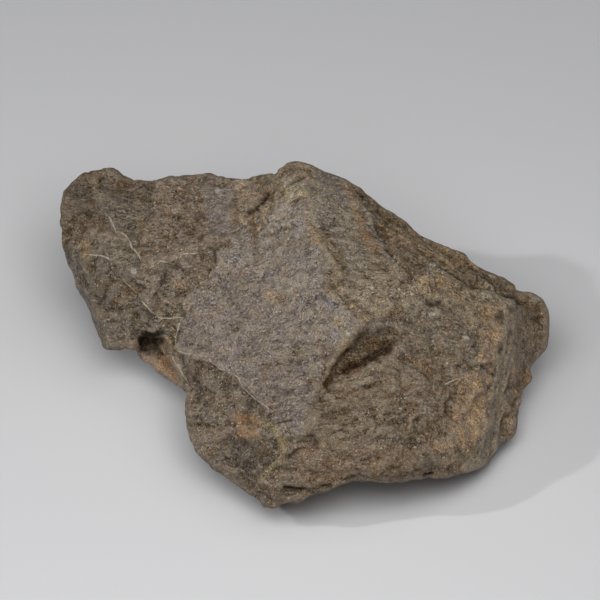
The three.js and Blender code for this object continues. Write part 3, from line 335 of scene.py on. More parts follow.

# Stains along a line, with painted shade beside the keel's rib, in its groove and in the band's core,
# and a partly painted highlight along the crest: colour, strength, half width, places.
stainsAndShading = {
    "yellowVein": ("straw", 0.7, 0.3, [-5.2, 10.5, -3.6, 9.5, -2.9, 8, -2.8, 6.8, -3.4, 5.5, -4.5, 4.2,
        -5.1, 3.2]),
    "lobeOchre": ("ochre", 0.6, 0.5, [-28.2, 32.6, -27.6, 31.8, -27.2, 30.8]),
    "lobeTan": ("sand", 0.7, 0.4, [-20.6, 35.8, -20.2, 35, -20.8, 34.2]),
    "lobeTip": ("darkUmber", 0.9, 0.5, [-24.2, 40.1, -22.4, 39.6, -20.5, 39.5, -19.2, 39.8]),
    "keelOrange": ("sand", 0.8, 0.45, [0.8, 34.6, 1.6, 33.4, 2.8, 31.8, 3.6, 30.5, 4.4, 29.2]),
    # painted shadow beside the keel's rib
    "keelShadow": ("shadowBrown", 0.75, 0.4, [1.8, 35.4, 3.2, 33.4, 4.2, 31.8, 4.9, 30.2, 5.2, 29]),
    # painted shade in the groove beside the keel
    "keelGrooveShade": ("shadowBrown", 0.6, 0.35, [4.6, 27.6, 5.6, 25.9, 7, 24.6, 8.4, 23.6]),
    "keelRust": ("sand", 0.35, 0.6, [3.5, 27.4, 4.6, 25.6, 5.9, 24.4, 7.3, 23]),
    "recessRed": ("sand", 0.4, 0.4, [-16, 27, -15.2, 27.4]),
    "keelFoot": ("darkUmber", 0.5, 0.4, [1.5, 12.6, 0.7, 10.6, -0.1, 8.8]),
    "keelLight": ("ochre", 0.55, 0.5, [4.2, 22.8, 5.5, 21.2, 5, 20.2, 4, 19.2]),
    "peakNotch": ("rustDeep", 0.6, 0.5, [-4.4, 39, -5.4, 37.8, -7.1, 36.4]),
    # painted shadow: the dark core under the band's brow
    "bandShadowCore": ("deepShadowBrown", 0.95, 0.55, [2, 14.4, 3.4, 15.6, 5, 16.7, 7, 17.7, 9.2, 18.7, 10.6, 19.4]),
    "bandEdge": ("rust", 0.5, 0.35, [4, 19, 3.1, 17.5, 2.5, 16.2]),
    "ridgeOrange": ("orange", 0.75, 0.35, [5.1, 40, 5.9, 38.5, 6.8, 36.2, 7.5, 34, 8.4, 32.2, 9.5, 31.5]),
    # pale tan along the crest, partly a painted highlight
    "crestTanAndHighlight": ("pale", 0.8, 0.45, [15.8, 29.5, 18, 28, 19.8, 26.8, 22, 26.5, 24, 26.2, 25.5, 25.1]),
    "peakOchre": ("pale", 0.85, 0.7, [-2.1, 40, -1.5, 39.2, -0.8, 39.5, -0.1, 39.8]),
    "peakPale": ("pale", 1, 0.45, [-2.2, 38.6, -1.4, 38.9, -0.1, 39.1]),
    "slabPale": ("pale", 0.5, 0.15, [-18.6, 40.1, -19, 38.4, -18.8, 36.5, -19.9, 34.8]),
    "greatSpot": ("sand", 0.7, 0.5, [-4, 26, -3.2, 26]),
    "roofLine": ("pale", 0.15, 0.2, [7.2, 25.6, 8.5, 25.4, 9.8, 25.5]),
    "cornerBand": ("slate", 0.5, 0.6, [-14.5, 11.2, -13, 11.1, -11.2, 11.2, -9.8, 11.8]),
    "cornerSand": ("orange", 0.35, 0.6, [-12, 9.2, -11, 9.4]),
    "bellyEdge": ("sand", 0.5, 0.3, [-15.8, 17.4, -15.2, 16, -14.5, 14.8]),
    "flakeSand": ("rust", 0.4, 0.3, [24.9, 26.8, 25.9, 27, 26.2, 27.5]),
}

# Small strokes by colour, stains and painted shade and light among them: strength, half width, places.
smallStainsAndShading = {
    "darkUmber": (
        (0.7, 0.7, [-27.8, 41.2, -25.5, 41, -23, 41.2, -21.2, 40, -19.8, 38.6]),
        (0.6, 0.7, [-30, 38.4, -29.4, 36.4]),
        (0.45, 0.5, [-18, 41, -13.5, 41.4, -8.8, 40.6]),
        (0.7, 0.6, [-6.6, 41.1, -4.4, 40.2]),
        (0.6, 0.5, [-22.6, 20.8, -21.2, 20.9]),
        # painted shade in the hollow under the lobe
        (0.8, 0.5, [-19.4, 19.6, -18.9, 18.8]),
        # painted shade in the band's hollow, beside the keel
        (0.8, 0.5, [3.6, 15, 4.6, 16.2]),
        (0.6, 0.7, [23.2, 9.2, 21.4, 6.8]),
        # painted shade low on the corner
        (0.6, 0.5, [-12, 5.6, -10.4, 4.4]),
        # painted shadow at the lower left of the glint patch
        (0.75, 1, [-1, 19, 1, 19.7, 3.2, 19]),
        (0.85, 0.9, [1.8, 12.4, 3.2, 11.5, 5.5, 11, 8, 12]),
        (0.8, 0.7, [15.5, 5.8, 18.5, 6.5]),
        # painted shadow under the lip
        (0.85, 0.5, [-6.8, 2.8, -3, 1.8, 0.8, 1.6, 7, 3.2, 12, 3.6]),
        (0.7, 0.6, [-26.5, 29.5, -25.2, 27.5]),
        (0.4, 0.8, [-3.6, 32.6, -0.5, 32.4]),
        (0.5, 0.6, [7, 38, 8.2, 36.2]),
    ),
    "sand": (
        (0.8, 0.6, [-17.6, 20.6, -17, 19]),
        # partly painted light on the crest
        (0.85, 1, [15.5, 27.8, 17.5, 27.2, 19.6, 26.4, 20.6, 25.6]),
        (0.5, 0.4, [21.5, 24.8, 21.2, 23.2, 20.8, 21.8]),
    ),
    "tan": (
        (0.5, 0.6, [-14.6, 34.6, -13.9, 33.8]),
        (0.6, 0.5, [5.6, 19.8, 6.8, 20.9]),
        (0.5, 0.5, [1.2, 15.4, 1.9, 14.3]),
        # partly painted light on the right of the broad face
        (0.8, 1.2, [15.8, 17.4, 17, 14.9, 17.6, 11.8, 17, 9.2]),
        (0.4, 1, [12.4, 31.8, 13, 28.5]),
        (0.5, 0.6, [-4.9, 7.4, -3.2, 6.4]),
        (0.8, 0.5, [-6.6, 35.8, -6, 32.6]),
        (0.65, 0.7, [-23.2, 25.4, -21.6, 26.5]),
    ),
    "paleGrey": (
        (0.6, 0.8, [2.4, 41.2, 3.4, 39.8, 4.4, 37.6]),
    ),
}

# Bright grains and painted glints: radius and the places of those of that size. The smallest ones on
# the glint patch and on the peak's face are painted glints.
specksAndGlints = {
    0.36: [16, 23.8, 20.2, 20.8, -21.4, 29.1, -10.8, 39.4],
    0.2: [15, 23.9, 8.5, 27, 9.2, 26.6, 11.2, 30.9, 11.9, 30.4, 5.5, 21.2, -1.6, 38.8, -18.9, 29.9,
        22.6, 16.5, 2.8, 22.8, 4.8, 25.5, -10.4, 38.6, 13.6, 26.5, -8.4, 9.8],
    0.1: [12.6, 24.1, 5, 38, 5.6, 35.8, -0.8, 33.5, -1.1, 35.4, -2.8, 34.5, 13.9, 17.9, 9.2, 10.5,
        14.4, 10.5, 3.2, 25.5, 4, 24, 5.2, 22.2, 2.2, 20.8, 0.4, 20.4, 0, 10, -12.6, 7.2, -13.2, 10.5,
        -2, 36.2, -0.5, 34.2, 13.1, 27.1, 7.2, 25.5, -16, 30.9, -7.4, 36.5, -7.6, 36, 20.8, 24, 23.5, 25.8,
        22.2, 17.2, 1.1, 22.1, 3, 24.6, 3.8, 23.2, 4.6, 22, 2.4, 21.6, 5.4, 23.6, 1.6, 24.2, 3.4, 21,
        -1.8, 36.6, -2.4, 35.6, -0.2, 35.2, -3, 36.8, 2.2, 27.8, 1, 29.4],
}


def byPairs(numbers):
    return np.array(numbers, float).reshape(-1, 2)


# How far along a stretch each place lies, and its way from the stretch.
def fromStretch(places, a, b):
    t = ((places - a) @ (b - a)) / ((b - a) @ (b - a))
    away = places - a - np.clip(t, 0, 1)[:, None] * (b - a)
    return t, away, np.hypot(away[:, 0], away[:, 1])


# Signed distance from a line of places, positive on its left, and how far past its ends.
def lineField(places, line):
    nearest = np.full(len(places), 1e9)
    side = np.ones(len(places))
    pastEnd = np.zeros(len(places))
    corners = byPairs(line)
    last = len(corners) - 2
    for i in range(last + 1):
        t, away, distance = fromStretch(places, corners[i], corners[i + 1])
        along = corners[i + 1] - corners[i]
        nearer = distance < nearest
        cross = along[0] * away[:, 1] - along[1] * away[:, 0]
        outside = ((t < 0) & (i == 0)) | ((t > 1) & (i == last))
        nearest = np.where(nearer, distance, nearest)
        side = np.where(nearer, np.where(cross < 0, -1.0, 1.0), side)
        pastEnd = np.where(nearer, outside * distance, pastEnd)
    return nearest * side, pastEnd


# Distance from the edge of an outline, positive inside it.
def insideField(places, outline):
    corners = byPairs(outline)
    inside = np.zeros(len(places), bool)
    nearest = np.full(len(places), 1e9)
    for a, b in zip(corners, np.roll(corners, -1, 0)):
        nearest = np.minimum(nearest, fromStretch(places, a, b)[2])
        crosses = (a[1] > places[:, 1]) != (b[1] > places[:, 1])
        with np.errstate(divide="ignore", invalid="ignore"):
            at = a[0] + (places[:, 1] - a[1]) * (b - a)[0] / (b - a)[1]
        inside ^= crosses & (places[:, 0] < at)
    return np.where(inside, nearest, -nearest)


def fractalField(points, size, octaves=3, seed=0.0):
    shift = Vector((seed, seed * 1.7, seed * 2.3))
    return np.array([noise.fractal(Vector(p) / size + shift, 1.0, 2.0, octaves) for p in points])


# Small planes, each tilted its own way: the middle one of the three nearest, so they meet in
# sharp ridges and clefts.
def facetField(points, size, depth, tilt, seed):
    shift = Vector((seed, seed * 1.3, seed * 0.7))
    middle = Vector((0.5, 0.5, 0.5))
    heights = np.empty(len(points))
    for i, p in enumerate(points):
        place = Vector(p) / size + shift
        heightsHere = sorted(
            (noise.cell(centre * 57.3) - 0.5) * 2 * depth
            + (noise.cell_vector(centre * 91.7) - middle).dot(place - centre) * 2 * tilt * size
            for centre in noise.voronoi(place)[1][:3]
        )
        heights[i] = heightsHere[1]
    return heights


# Places on the board, turned so that the first runs along the beds and the second across them.
def alongBeds(places, degrees):
    c, s = math.cos(math.radians(degrees)), math.sin(math.radians(degrees))
    along = places[:, 0] * c + places[:, 1] * s
    across = places[:, 1] * c - places[:, 0] * s
    return np.stack([along, across, places[:, 2]], 1)


# Noise drawn out along one direction of the board.
def streakField(places, degrees, length, width, seed):
    drawnOut = alongBeds(places, degrees) / np.array([length, width, length])
    return fractalField(drawnOut, 1.0, 3, seed)


def neighbourMean(values, edges, counts):
    total = np.zeros_like(values)
    for column in range(values.shape[1]):
        total[:, column] = (
            np.bincount(edges[:, 0], values[edges[:, 1], column], len(values))
            + np.bincount(edges[:, 1], values[edges[:, 0], column], len(values))
        )
    return total / counts[:, None]


def evened(points, edges, counts):
    for _ in range(breakage["evenRounds"]):
        points = neighbourMean(points, edges, counts)
    return points


def facePairs(faces, pointCount):
    owners = [[] for _ in range(pointCount)]
    for face, corners in enumerate(faces):
        for corner in corners:
            owners[corner].append(face)
    pairs = {(a, b) for around in owners for a in around for b in around}
    return np.array(sorted(pairs)).T


def pointsAndEdges(bm):
    points = np.array([v.co for v in bm.verts])
    edges = np.array([[v.index for v in e.verts] for e in bm.edges])
    return points, edges, np.bincount(edges.ravel(), minlength=len(points))


def movePoints(bm, points):
    for v, p in zip(bm.verts, points):
        v.co = p


# Bring neighbouring faces that nearly lie in one plane into it, and leave the arrises between
# planes where they are.
def flattenFaces(bm):
    points = drawn = np.array([v.co for v in bm.verts]) / mm
    faces = np.array([[v.index for v in f.verts] for f in bm.faces])
    resting = points[:, 2] < 1e-4
    here, there = facePairs(faces, len(points))
    corners = points[faces]
    normals = np.cross(corners[:, 1] - corners[:, 0], corners[:, 2] - corners[:, 0])
    areas = np.linalg.norm(normals, axis=1)
    normals /= areas[:, None]
    centres = corners.mean(1)
    near = areas[there] * np.exp(-((centres[here] - centres[there]) ** 2).sum(1) / stone["sameReach"] ** 2)
    patch = np.zeros(len(faces), int)
    for n, name in enumerate(planes):
        patch[insideField(onBoard(centres)[:, :2], patches[name][-1]) > 0] = n + 1
    patch[normals @ boardOut < 0] = 0
    onePatch = patch[here] == patch[there]
    near *= np.where(onePatch, 1, stone["acrossPatches"])
    sameness = np.where(onePatch & (patch[here] > 0), stone["patchSameness"], stone["sameness"])
    for _ in range(stone["planeRounds"]):
        alike = near * np.exp(-((normals[here] - normals[there]) ** 2).sum(1) / sameness ** 2)
        normals = np.stack([np.bincount(here, alike * normals[there, k], len(faces)) for k in range(3)], 1)
        normals /= np.linalg.norm(normals, axis=1)[:, None]
    counts = np.bincount(faces.ravel(), minlength=len(points))
    for _ in range(stone["fitRounds"]):
        corners = points[faces]
        out = ((corners.mean(1)[:, None] - corners) * normals[:, None]).sum(2)
        moves = (out[:, :, None] * normals[:, None]).reshape(-1, 3)
        total = np.stack([np.bincount(faces.ravel(), moves[:, k], len(points)) for k in range(3)], 1)
        points = points + np.where(resting[:, None], 0, total / counts[:, None])
        moved = points - drawn
        far = np.linalg.norm(moved, axis=1)[:, None]
        points = drawn + moved * np.minimum(1, stone["mostMove"] / np.maximum(far, 1e-9))
    movePoints(bm, points * mm)


def easeArrises(bm, rounds):
    points, edges, counts = pointsAndEdges(bm)
    for share in (stone["easeIn"], stone["easeOut"]) * rounds:
        points = points + (neighbourMean(points, edges, counts) - points) * share
    movePoints(bm, points)


def wearCorners(bm):
    points, edges, counts = pointsAndEdges(bm)
    for _ in range(stone["wearRounds"]):
        moves = neighbourMean(points, edges, counts) - points
        sharp = np.linalg.norm(moves, axis=1) > stone["sharpest"] * mm
        points = points + moves * stone["wearShare"] * sharp[:, None]
    movePoints(bm, points)


def refinedCopy(node):
    bm = bmesh.new()
    bm.from_mesh(node.data)
    bmesh.ops.remove_doubles(bm, verts=bm.verts, dist=1e-6)
    bm.verts.index_update()
    flattenFaces(bm)
    for rounds in stone["easingRounds"]:
        bmesh.ops.subdivide_edges(bm, edges=bm.edges, cuts=1, use_grid_fill=True)
        bm.verts.index_update()
        easeArrises(bm, rounds)
    wearCorners(bm)
    longEdges = [e for e in bm.edges if e.calc_length() > stone["longestEdge"] * mm]
    bmesh.ops.subdivide_edges(bm, edges=longEdges, cuts=1)
    bmesh.ops.triangulate(bm, faces=bm.faces)
    mesh = bpy.data.meshes.new("meteoriteStone")
    bm.to_mesh(mesh)
    bm.free()
    return mesh


def meshArrays(mesh):
    points = np.empty(len(mesh.vertices) * 3)
    mesh.vertices.foreach_get("co", points)
    normals = np.empty(len(mesh.vertices) * 3)
    mesh.vertex_normals.foreach_get("vector", normals)
    edges = np.empty(len(mesh.edges) * 2, int)
    mesh.edges.foreach_get("vertices", edges)
    return points.reshape(-1, 3) / mm, normals.reshape(-1, 3), edges.reshape(-1, 2)


def keepField(mesh, name, values, kind="FLOAT", key="value"):
    attribute = mesh.attributes.new(name, kind, "POINT")
    attribute.data.foreach_set(key, values.astype(np.float32).ravel())


def toLinear(colour):
    return np.array([((c / 255 + 0.055) / 1.055) ** 2.4 for c in colour])


def blended(tone, colour, share, shade=1.0):
    return tone + (toLinear(palette[colour]) * shade - tone) * share[:, None]


mesh = refinedCopy(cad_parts["meteorite"])
print("stone: refined to", len(mesh.polygons), "triangles")
points, normals, edges = meshArrays(mesh)
counts = np.bincount(edges.ravel(), minlength=len(points))
spread = normals
for _ in range(breakage["thinRounds"]):
    spread = neighbourMean(spread, edges, counts)
thick = smoothStep(*breakage["thin"], np.linalg.norm(spread, axis=1))  # 0 along an acute edge
for _ in range(breakage["normalRounds"]):
    normals = neighbourMean(normals, edges, counts) + normals
    normals /= np.linalg.norm(normals, axis=1)[:, None]
places = onBoard(points)
flat = places[:, :2]
facing = normals @ boardOut
onTop = smoothStep(*breakage["upperSide"], facing)  # 1 over the upper side, 0 under the rim
rim = 1 - smoothStep(*breakage["rimSide"], np.abs(facing))
waver = fractalField(points, 2.4, 3, 11.0)
crossWaver = fractalField(points, 2.0, 3, 51.0)
jittered = flat + np.stack([waver, crossWaver], 1) * breakage["jitter"]


# Distance from a line, and how much of it shows, which fades out past its ends.
def fadingLine(line, fade):
    away, pastEnd = lineField(jittered, line)
    return away, (1 - smoothStep(0, fade, pastEnd)) * onTop


# Tone and roughness of the break.
colouring = {
    "underSpread": (0.05, 0.45),  # where a noise's colour starts and is full
    "underShare": 0.8,
    "mottleSpread": (0.1, 0.6),
    "patchShare": 0.9,
    "patchWander": 0.4,  # how far a patch's edge strays
    "stainAndShadingEdge": (0.6, 1.6),  # in half widths
}
# The noises' colours: size, seed, and strength where they differ.
underTones = {"oliveGrey": (5.0, 2.0), "rust": (4.0, 7.0), "darkUmber": (6.0, 9.0), "slate": (3.0, 13.0)}
mottles = {"rust": (2.6, 61.0, 0.25), "purpleGrey": (1.8, 63.0, 0.15), "oliveGrey": (3.0, 65.0, 0.2)}
tone = np.tile(toLinear(palette["umber"]), (len(points), 1))
for colour, (size, seed) in underTones.items():
    share = smoothStep(*colouring["underSpread"], fractalField(points, size, 3, seed))
    tone = blended(tone, colour, share * colouring["underShare"])
roughness = np.full(len(points), breakage["plainRoughness"])
for colour, shade, rough, soft, outline in patches.values():
    inside = insideField(flat, outline) + waver * (colouring["patchWander"] + soft)
    share = smoothStep(-soft, soft, inside) * onTop
    tone = blended(tone, colour, share * colouring["patchShare"], shade)
    roughness += (rough - roughness) * share
for colour, (size, seed, strength) in mottles.items():
    share = smoothStep(*colouring["mottleSpread"], fractalField(points, size, 3, seed))
    tone = blended(tone, colour, share * strength)
small = [(colour, *stroke) for colour, group in smallStainsAndShading.items() for stroke in group]
# the stains, with the painted shade and light among them, laid on along their lines
for colour, strength, halfWidth, line in (*stainsAndShading.values(), *small):
    away = np.abs(lineField(jittered, line)[0]) / halfWidth + waver
    share = 1 - smoothStep(*colouring["stainAndShadingEdge"], away)
    tone = blended(tone, colour, share * strength * onTop)
print("stone: patches laid")

# The relief of the break.
warp = np.stack([fractalField(points, breakage["warpSize"], 3, s) for s in (21.0, 22.0, 23.0)], 1)
warped = points + warp * breakage["warp"]
height = np.zeros(len(points))
for n, (size, depth, tilt) in enumerate(breakage["facets"]):
    height += facetField(warped, size, depth, tilt, 3.0 + n)
for n, (size, depth) in enumerate(breakage["fractal"]):
    height += fractalField(warped, size, 3, 30.0 + n) * depth
wanderSize, wanderShare = breakage["ledgeWander"]
level = points @ layerUp / breakage["ledgeGap"] + fractalField(points, wanderSize, 2, 41.0) * wanderShare
steep = np.sqrt(1 - np.clip(normals @ layerUp, -1, 1) ** 2)
bedded = smoothStep(-0.1, 0.4, fractalField(points, 6.0, 2, 43.0))
height += (level - np.floor(level) - 0.5) * breakage["ledgeDepth"] * steep * bedded
height *= roughness
bedPlace = points.copy()
bedShare = np.zeros(len(points))
for n, (degrees, length, width, depth, outline) in enumerate(streaks.values()):
    share = smoothStep(-0.6, 0.6, insideField(flat, outline) + waver * 0.7) * onTop
    inside = share > 0
    height[inside] += streakField(places[inside], degrees, length, width, 70.0 + n) * depth * share[inside]
    stronger = share > bedShare
    bedPlace[stronger] = alongBeds(places[stronger], degrees)
    bedShare = np.maximum(bedShare, share)
for rise, reach, line in scarps.values():
    away, shown = fadingLine(line, 1.0)
    bend = np.clip(away / breakage["scarpSharpness"], -1, 1)
    height += rise * 0.5 * bend * np.exp(-np.abs(away) / reach) * shown
for rise, reach, line in ridges.values():
    away, shown = fadingLine(line, 1.5)
    height += rise * np.exp(-np.abs(away) / reach) * shown
# the cracks are cut in, and shade is painted into them, darker where they are deeper
crackShade = np.zeros(len(points))
for depth, halfWidth, line in cracks.values():
    away, shown = fadingLine(line, 0.4)
    share = np.exp(-(away / halfWidth) ** 2) * shown
    height -= depth * share
    crackShade = np.maximum(crackShade, share * min(1, depth / breakage["darkDepth"]))
for depth, radius, place in pits.values():
    away = np.hypot(*(jittered - np.array(place)).T) / radius
    height -= depth * (1 - smoothStep(0.4, 1.0, away)) * onTop
height *= breakage["thinRelief"] + (1 - breakage["thinRelief"]) * thick
height += breakage["rimLift"] * rim
points = points + normals * height[:, None]

# The rim: worn, without horns, and moved out again by what the wear took.
rimShare = breakage["rimEasing"] * np.maximum(rim, 1 - thick)[:, None]
for _ in range(breakage["rimRounds"]):
    points = points + (neighbourMean(points, edges, counts) - points) * rimShare
for _ in range(breakage["hornRounds"]):
    proud = ((points - evened(points, edges, counts)) * normals).sum(1) - breakage["mostProud"]
    points = points - normals * np.maximum(proud, 0)[:, None]
outward = spread / np.linalg.norm(spread, axis=1)[:, None]
points = points + outward * (breakage["wornLift"] * rim + breakage["thinLift"] * (1 - thick))[:, None]
points[:, 2] = np.maximum(points[:, 2], stone["leastHeight"])
mesh.vertices.foreach_set("co", (points * mm).ravel())
mesh.update()
print("stone: surface broken")

# Hollows, where shade is painted, and worn arrises, read from the finished surface, and the other
# fields of the finish.
points, normals, edges = meshArrays(mesh)
proud = ((points - evened(points, edges, counts)) * normals).sum(1) / breakage["markDepth"]
# how far each place is from a bright grain or a painted glint
speckAndGlintAway = np.full(len(points), breakage["farAway"])
for radius, centres in specksAndGlints.items():
    for centre in byPairs(centres):
        speckAndGlintAway = np.minimum(speckAndGlintAway, np.hypot(*(flat - centre).T) - radius)
fields = {
    "hollowShade": np.clip(-proud, 0, 1),
    "worn": np.clip(proud, 0, 1),
    "crack": crackShade,
    "breakRough": roughness,
    "speckAndGlintAway": np.where(onTop > 0.5, speckAndGlintAway, breakage["farAway"]),
    "bedShare": bedShare,
}
for n, veinSet in enumerate(veins):
    away, shown = np.array([fadingLine(line, 0.3) for line in veinSet]).transpose(1, 0, 2)
    nearest = np.abs(away).argmin(0), np.arange(len(points))
    fields[f"veinAway{n}"] = np.clip(away[nearest], -breakage["farAway"], breakage["farAway"])
    fields[f"veinShare{n}"] = shown[nearest]
for name, values in fields.items():
    keepField(mesh, name, values)
keepField(mesh, "bedPlace", bedPlace, "FLOAT_VECTOR", "vector")
keepField(mesh, "tone", np.concatenate([tone, np.ones((len(tone), 1))], 1), "FLOAT_COLOR", "color")
mesh.polygons.foreach_set("use_smooth", [True] * len(mesh.polygons))
mesh.update()

meteorite = bpy.data.objects.new("meteoriteStone", mesh)
bpy.context.scene.collection.objects.link(meteorite)
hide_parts("meteorite")
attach(meteorite, "root")
print("stone: in place")


# The stone's finish; sizes, widths and heights in millimetres.
finish = {
    "toneLevel": 0.95,
    "eye": (0.21, 0.72, 0.07),  # how light each colour looks
    "ash": (1.10, 0.98, 0.86),  # the brightest grains are less coloured
    "ashShare": 0.3,
    "ashFrom": (0.8, 2.2),
    "grainSize": 0.2,
    "grainSpread": (-0.25, 2.25),
    "swirlSize": 1.1,  # the grain runs in swirls
    "swirlReach": 1.5,
    "fineSize": 0.7,
    "fineSpread": (0.9, 1.1),
    "chipSpread": (0.85, 1.15),
    "mottleSize": 1.6,
    "coolMottle": (0.96, 0.99, 1.05, 1),
    "warmMottle": (1.06, 1.0, 0.86, 1),
    "marks": (  # colour, size, share, where it starts and is full, part on clean faces
        ((0.19, 0.105, 0.05, 1), 0.9, 0.2, 0.56, 0.68, 0.15),
        ((0.020, 0.013, 0.008, 1), 0.32, 0.3, 0.60, 0.68, 0.6),
        # bright flecks: pale grains, partly painted glints
        ((0.60, 0.56, 0.49, 1), 0.25, 0.85, 0.62, 0.68, 1.0),
    ),
    "hairs": (  # colour, size, width, share, stretch, rise
        # pale hairs: fine light lines, partly painted glints off crystal faces
        ((0.36, 0.30, 0.22, 1), 0.6, 0.08, 0.85, (0.5, 1, 1), 0.05),
        ((0.030, 0.020, 0.012, 1), 0.75, 0.08, 0.65, (0.5, 1, 1), -0.05),
    ),
    "shapeMarks": {  # colour, share
        # painted shade in the hollows
        "hollowShade": ((0.030, 0.018, 0.010, 1), 0.25),
        "worn": ((0.26, 0.21, 0.155, 1), 0.35),
        # painted shade in the cracks
        "crack": ((0.012, 0.008, 0.005, 1), 0.85),
    },
    "veinColour": (0.46, 0.40, 0.31, 1),
    "veinShare": 0.95,
    "veinWidth": 0.075,
    "speckAndGlintColour": (0.45, 0.43, 0.38, 1),
    "speckAndGlintShare": 0.75,
    "speckAndGlintWander": 1.3,
    "smoothGloss": 0.38,  # roughness of the cleaner faces
    "brokenGloss": 0.58,
    "smoothShine": 0.55,  # how strong their shine is
    "brokenShine": 0.30,
    "darkest": 0.02,  # where the colour is this dark there is almost no shine and no mark
    "lightest": 0.12,
    "chips": ((0.95, 0.25), (0.36, 0.55)),  # size and slope
    "grit": 0.14,  # height of the finest relief
    "bedGap": 0.55,
    "bedLength": 3.2,
    "bedHeight": 0.08,
}


class Nodes:
    def __init__(self, tree):
        self.tree = tree

    def add(self, kind, inputs=None, **settings):
        node = self.tree.nodes.new(kind)
        for key, value in settings.items():
            setattr(node, key, value)
        for key, value in (inputs or {}).items():
            self.feed(node.inputs[key], value)
        return node

    def feed(self, socket, value):
        if isinstance(value, bpy.types.NodeSocket):
            self.tree.links.new(value, socket)
        else:
            socket.default_value = value

    def math(self, operation, a, b=0.0, clamp=False):
        return self.add("ShaderNodeMath", {0: a, 1: b}, operation=operation, use_clamp=clamp).outputs[0]

    def times(self, product, *factors):
        for factor in factors:
            product = self.math("MULTIPLY", product, factor)
        return product

    def remap(self, value, low, high, toLow=0.0, toHigh=1.0, kind="SMOOTHSTEP"):
        inputs = {"Value": value, "From Min": low, "From Max": high, "To Min": toLow, "To Max": toHigh}
        return self.add("ShaderNodeMapRange", inputs, interpolation_type=kind).outputs["Result"]

    def blend(self, share, a, b, kind="MIX"):
        return self.add("ShaderNodeMix", {0: share, 6: a, 7: b}, data_type="RGBA", blend_type=kind).outputs[2]

    def scaled(self, vector, factor):
        return self.add("ShaderNodeVectorMath", {0: vector, "Scale": factor}, operation="SCALE").outputs[0]

    def vector(self, operation, a, b):
        node = self.add("ShaderNodeVectorMath", {0: a, 1: b}, operation=operation)
        return node.outputs["Value" if operation == "DOT_PRODUCT" else "Vector"]

    def lightness(self, colour):
        return self.vector("DOT_PRODUCT", colour, finish["eye"])

    def noise(self, vector, size, detail=2.0, roughness=0.5, output="Fac"):
        inputs = {"Vector": vector, "Scale": 1 / size, "Detail": detail, "Roughness": roughness}
        return self.add("ShaderNodeTexNoise", inputs).outputs[output]

    def strayed(self, place, size, roughness, reach):
        stray = self.noise(place, size, 2.0, roughness, "Color")
        stray = self.vector("SUBTRACT", stray, (0.5, 0.5, 0.5))
        return self.vector("ADD", place, self.scaled(stray, reach))

    def field(self, name, output="Fac"):
        return self.add("ShaderNodeAttribute", attribute_name=name).outputs[output]


def newGroup(name, inputs, output):
    group = bpy.data.node_groups.new(name, "ShaderNodeTree")
    for socket in inputs:
        kind = "NodeSocketVector" if socket == "Place" else "NodeSocketFloat"
        group.interface.new_socket(socket, in_out="INPUT", socket_type=kind)
    for socket in output:
        group.interface.new_socket(socket, in_out="OUTPUT", socket_type="NodeSocketFloat")
    return group, group.nodes.new("NodeGroupInput").outputs, group.nodes.new("NodeGroupOutput").inputs


# A thin vein that wanders, swells and thins out.
def veinGroup():
    group, given, made = newGroup("thinVein", ("Away", "Share", "Place", "Half Width"), ("Mask",))
    n = Nodes(group)
    wander = n.times(n.math("SUBTRACT", n.noise(given["Place"], 0.6), 0.5), 0.22)
    away = n.math("ABSOLUTE", n.math("ADD", given["Away"], wander))
    width = n.times(given["Half Width"], n.remap(n.noise(given["Place"], 1.4), 0.35, 0.6, 0.1, 1.5))
    line = n.math("SUBTRACT", 1.0, n.math("DIVIDE", away, width), clamp=True)
    n.feed(made["Mask"], n.times(n.remap(line, 0.0, 0.6), given["Share"]))
    return group


# Fine lines that come and go, where a noise crosses its middle.
def hairGroup():
    group, given, made = newGroup("hairs", ("Place", "Size", "Width"), ("Mask",))
    n = Nodes(group)
    place = n.scaled(given["Place"], n.math("DIVIDE", 1.0, given["Size"]))
    middle = n.math("ABSOLUTE", n.math("SUBTRACT", n.noise(place, 1.0, 3.0, 0.6), 0.5))
    line = n.math("SUBTRACT", 1.0, n.math("DIVIDE", middle, given["Width"]), clamp=True)
    n.feed(made["Mask"], n.times(line, n.remap(n.noise(place, 1.7), 0.42, 0.58)))
    return group


# Cells of a size, each a plane that leans its own way.
def chipGroup():
    group, given, made = newGroup("chips", ("Place", "Size", "Slope"), ("Height", "Shade"))
    n = Nodes(group)
    place = n.strayed(given["Place"], 0.5, 0.6, 0.5)
    scale = n.math("DIVIDE", 1.0, given["Size"])
    cells = n.add("ShaderNodeTexVoronoi", {"Vector": place, "Scale": scale})
    lean = n.vector("SUBTRACT", cells.outputs["Color"], (0.5, 0.5, 0.5))
    fromMiddle = n.vector("SUBTRACT", place, cells.outputs["Position"])
    rise = n.vector("DOT_PRODUCT", lean, fromMiddle)
    n.feed(made["Height"], n.times(rise, n.times(given["Slope"], 2.0)))
    n.feed(made["Shade"], n.vector("DOT_PRODUCT", cells.outputs["Color"], (0.3333, 0.3333, 0.3333)))
    return group


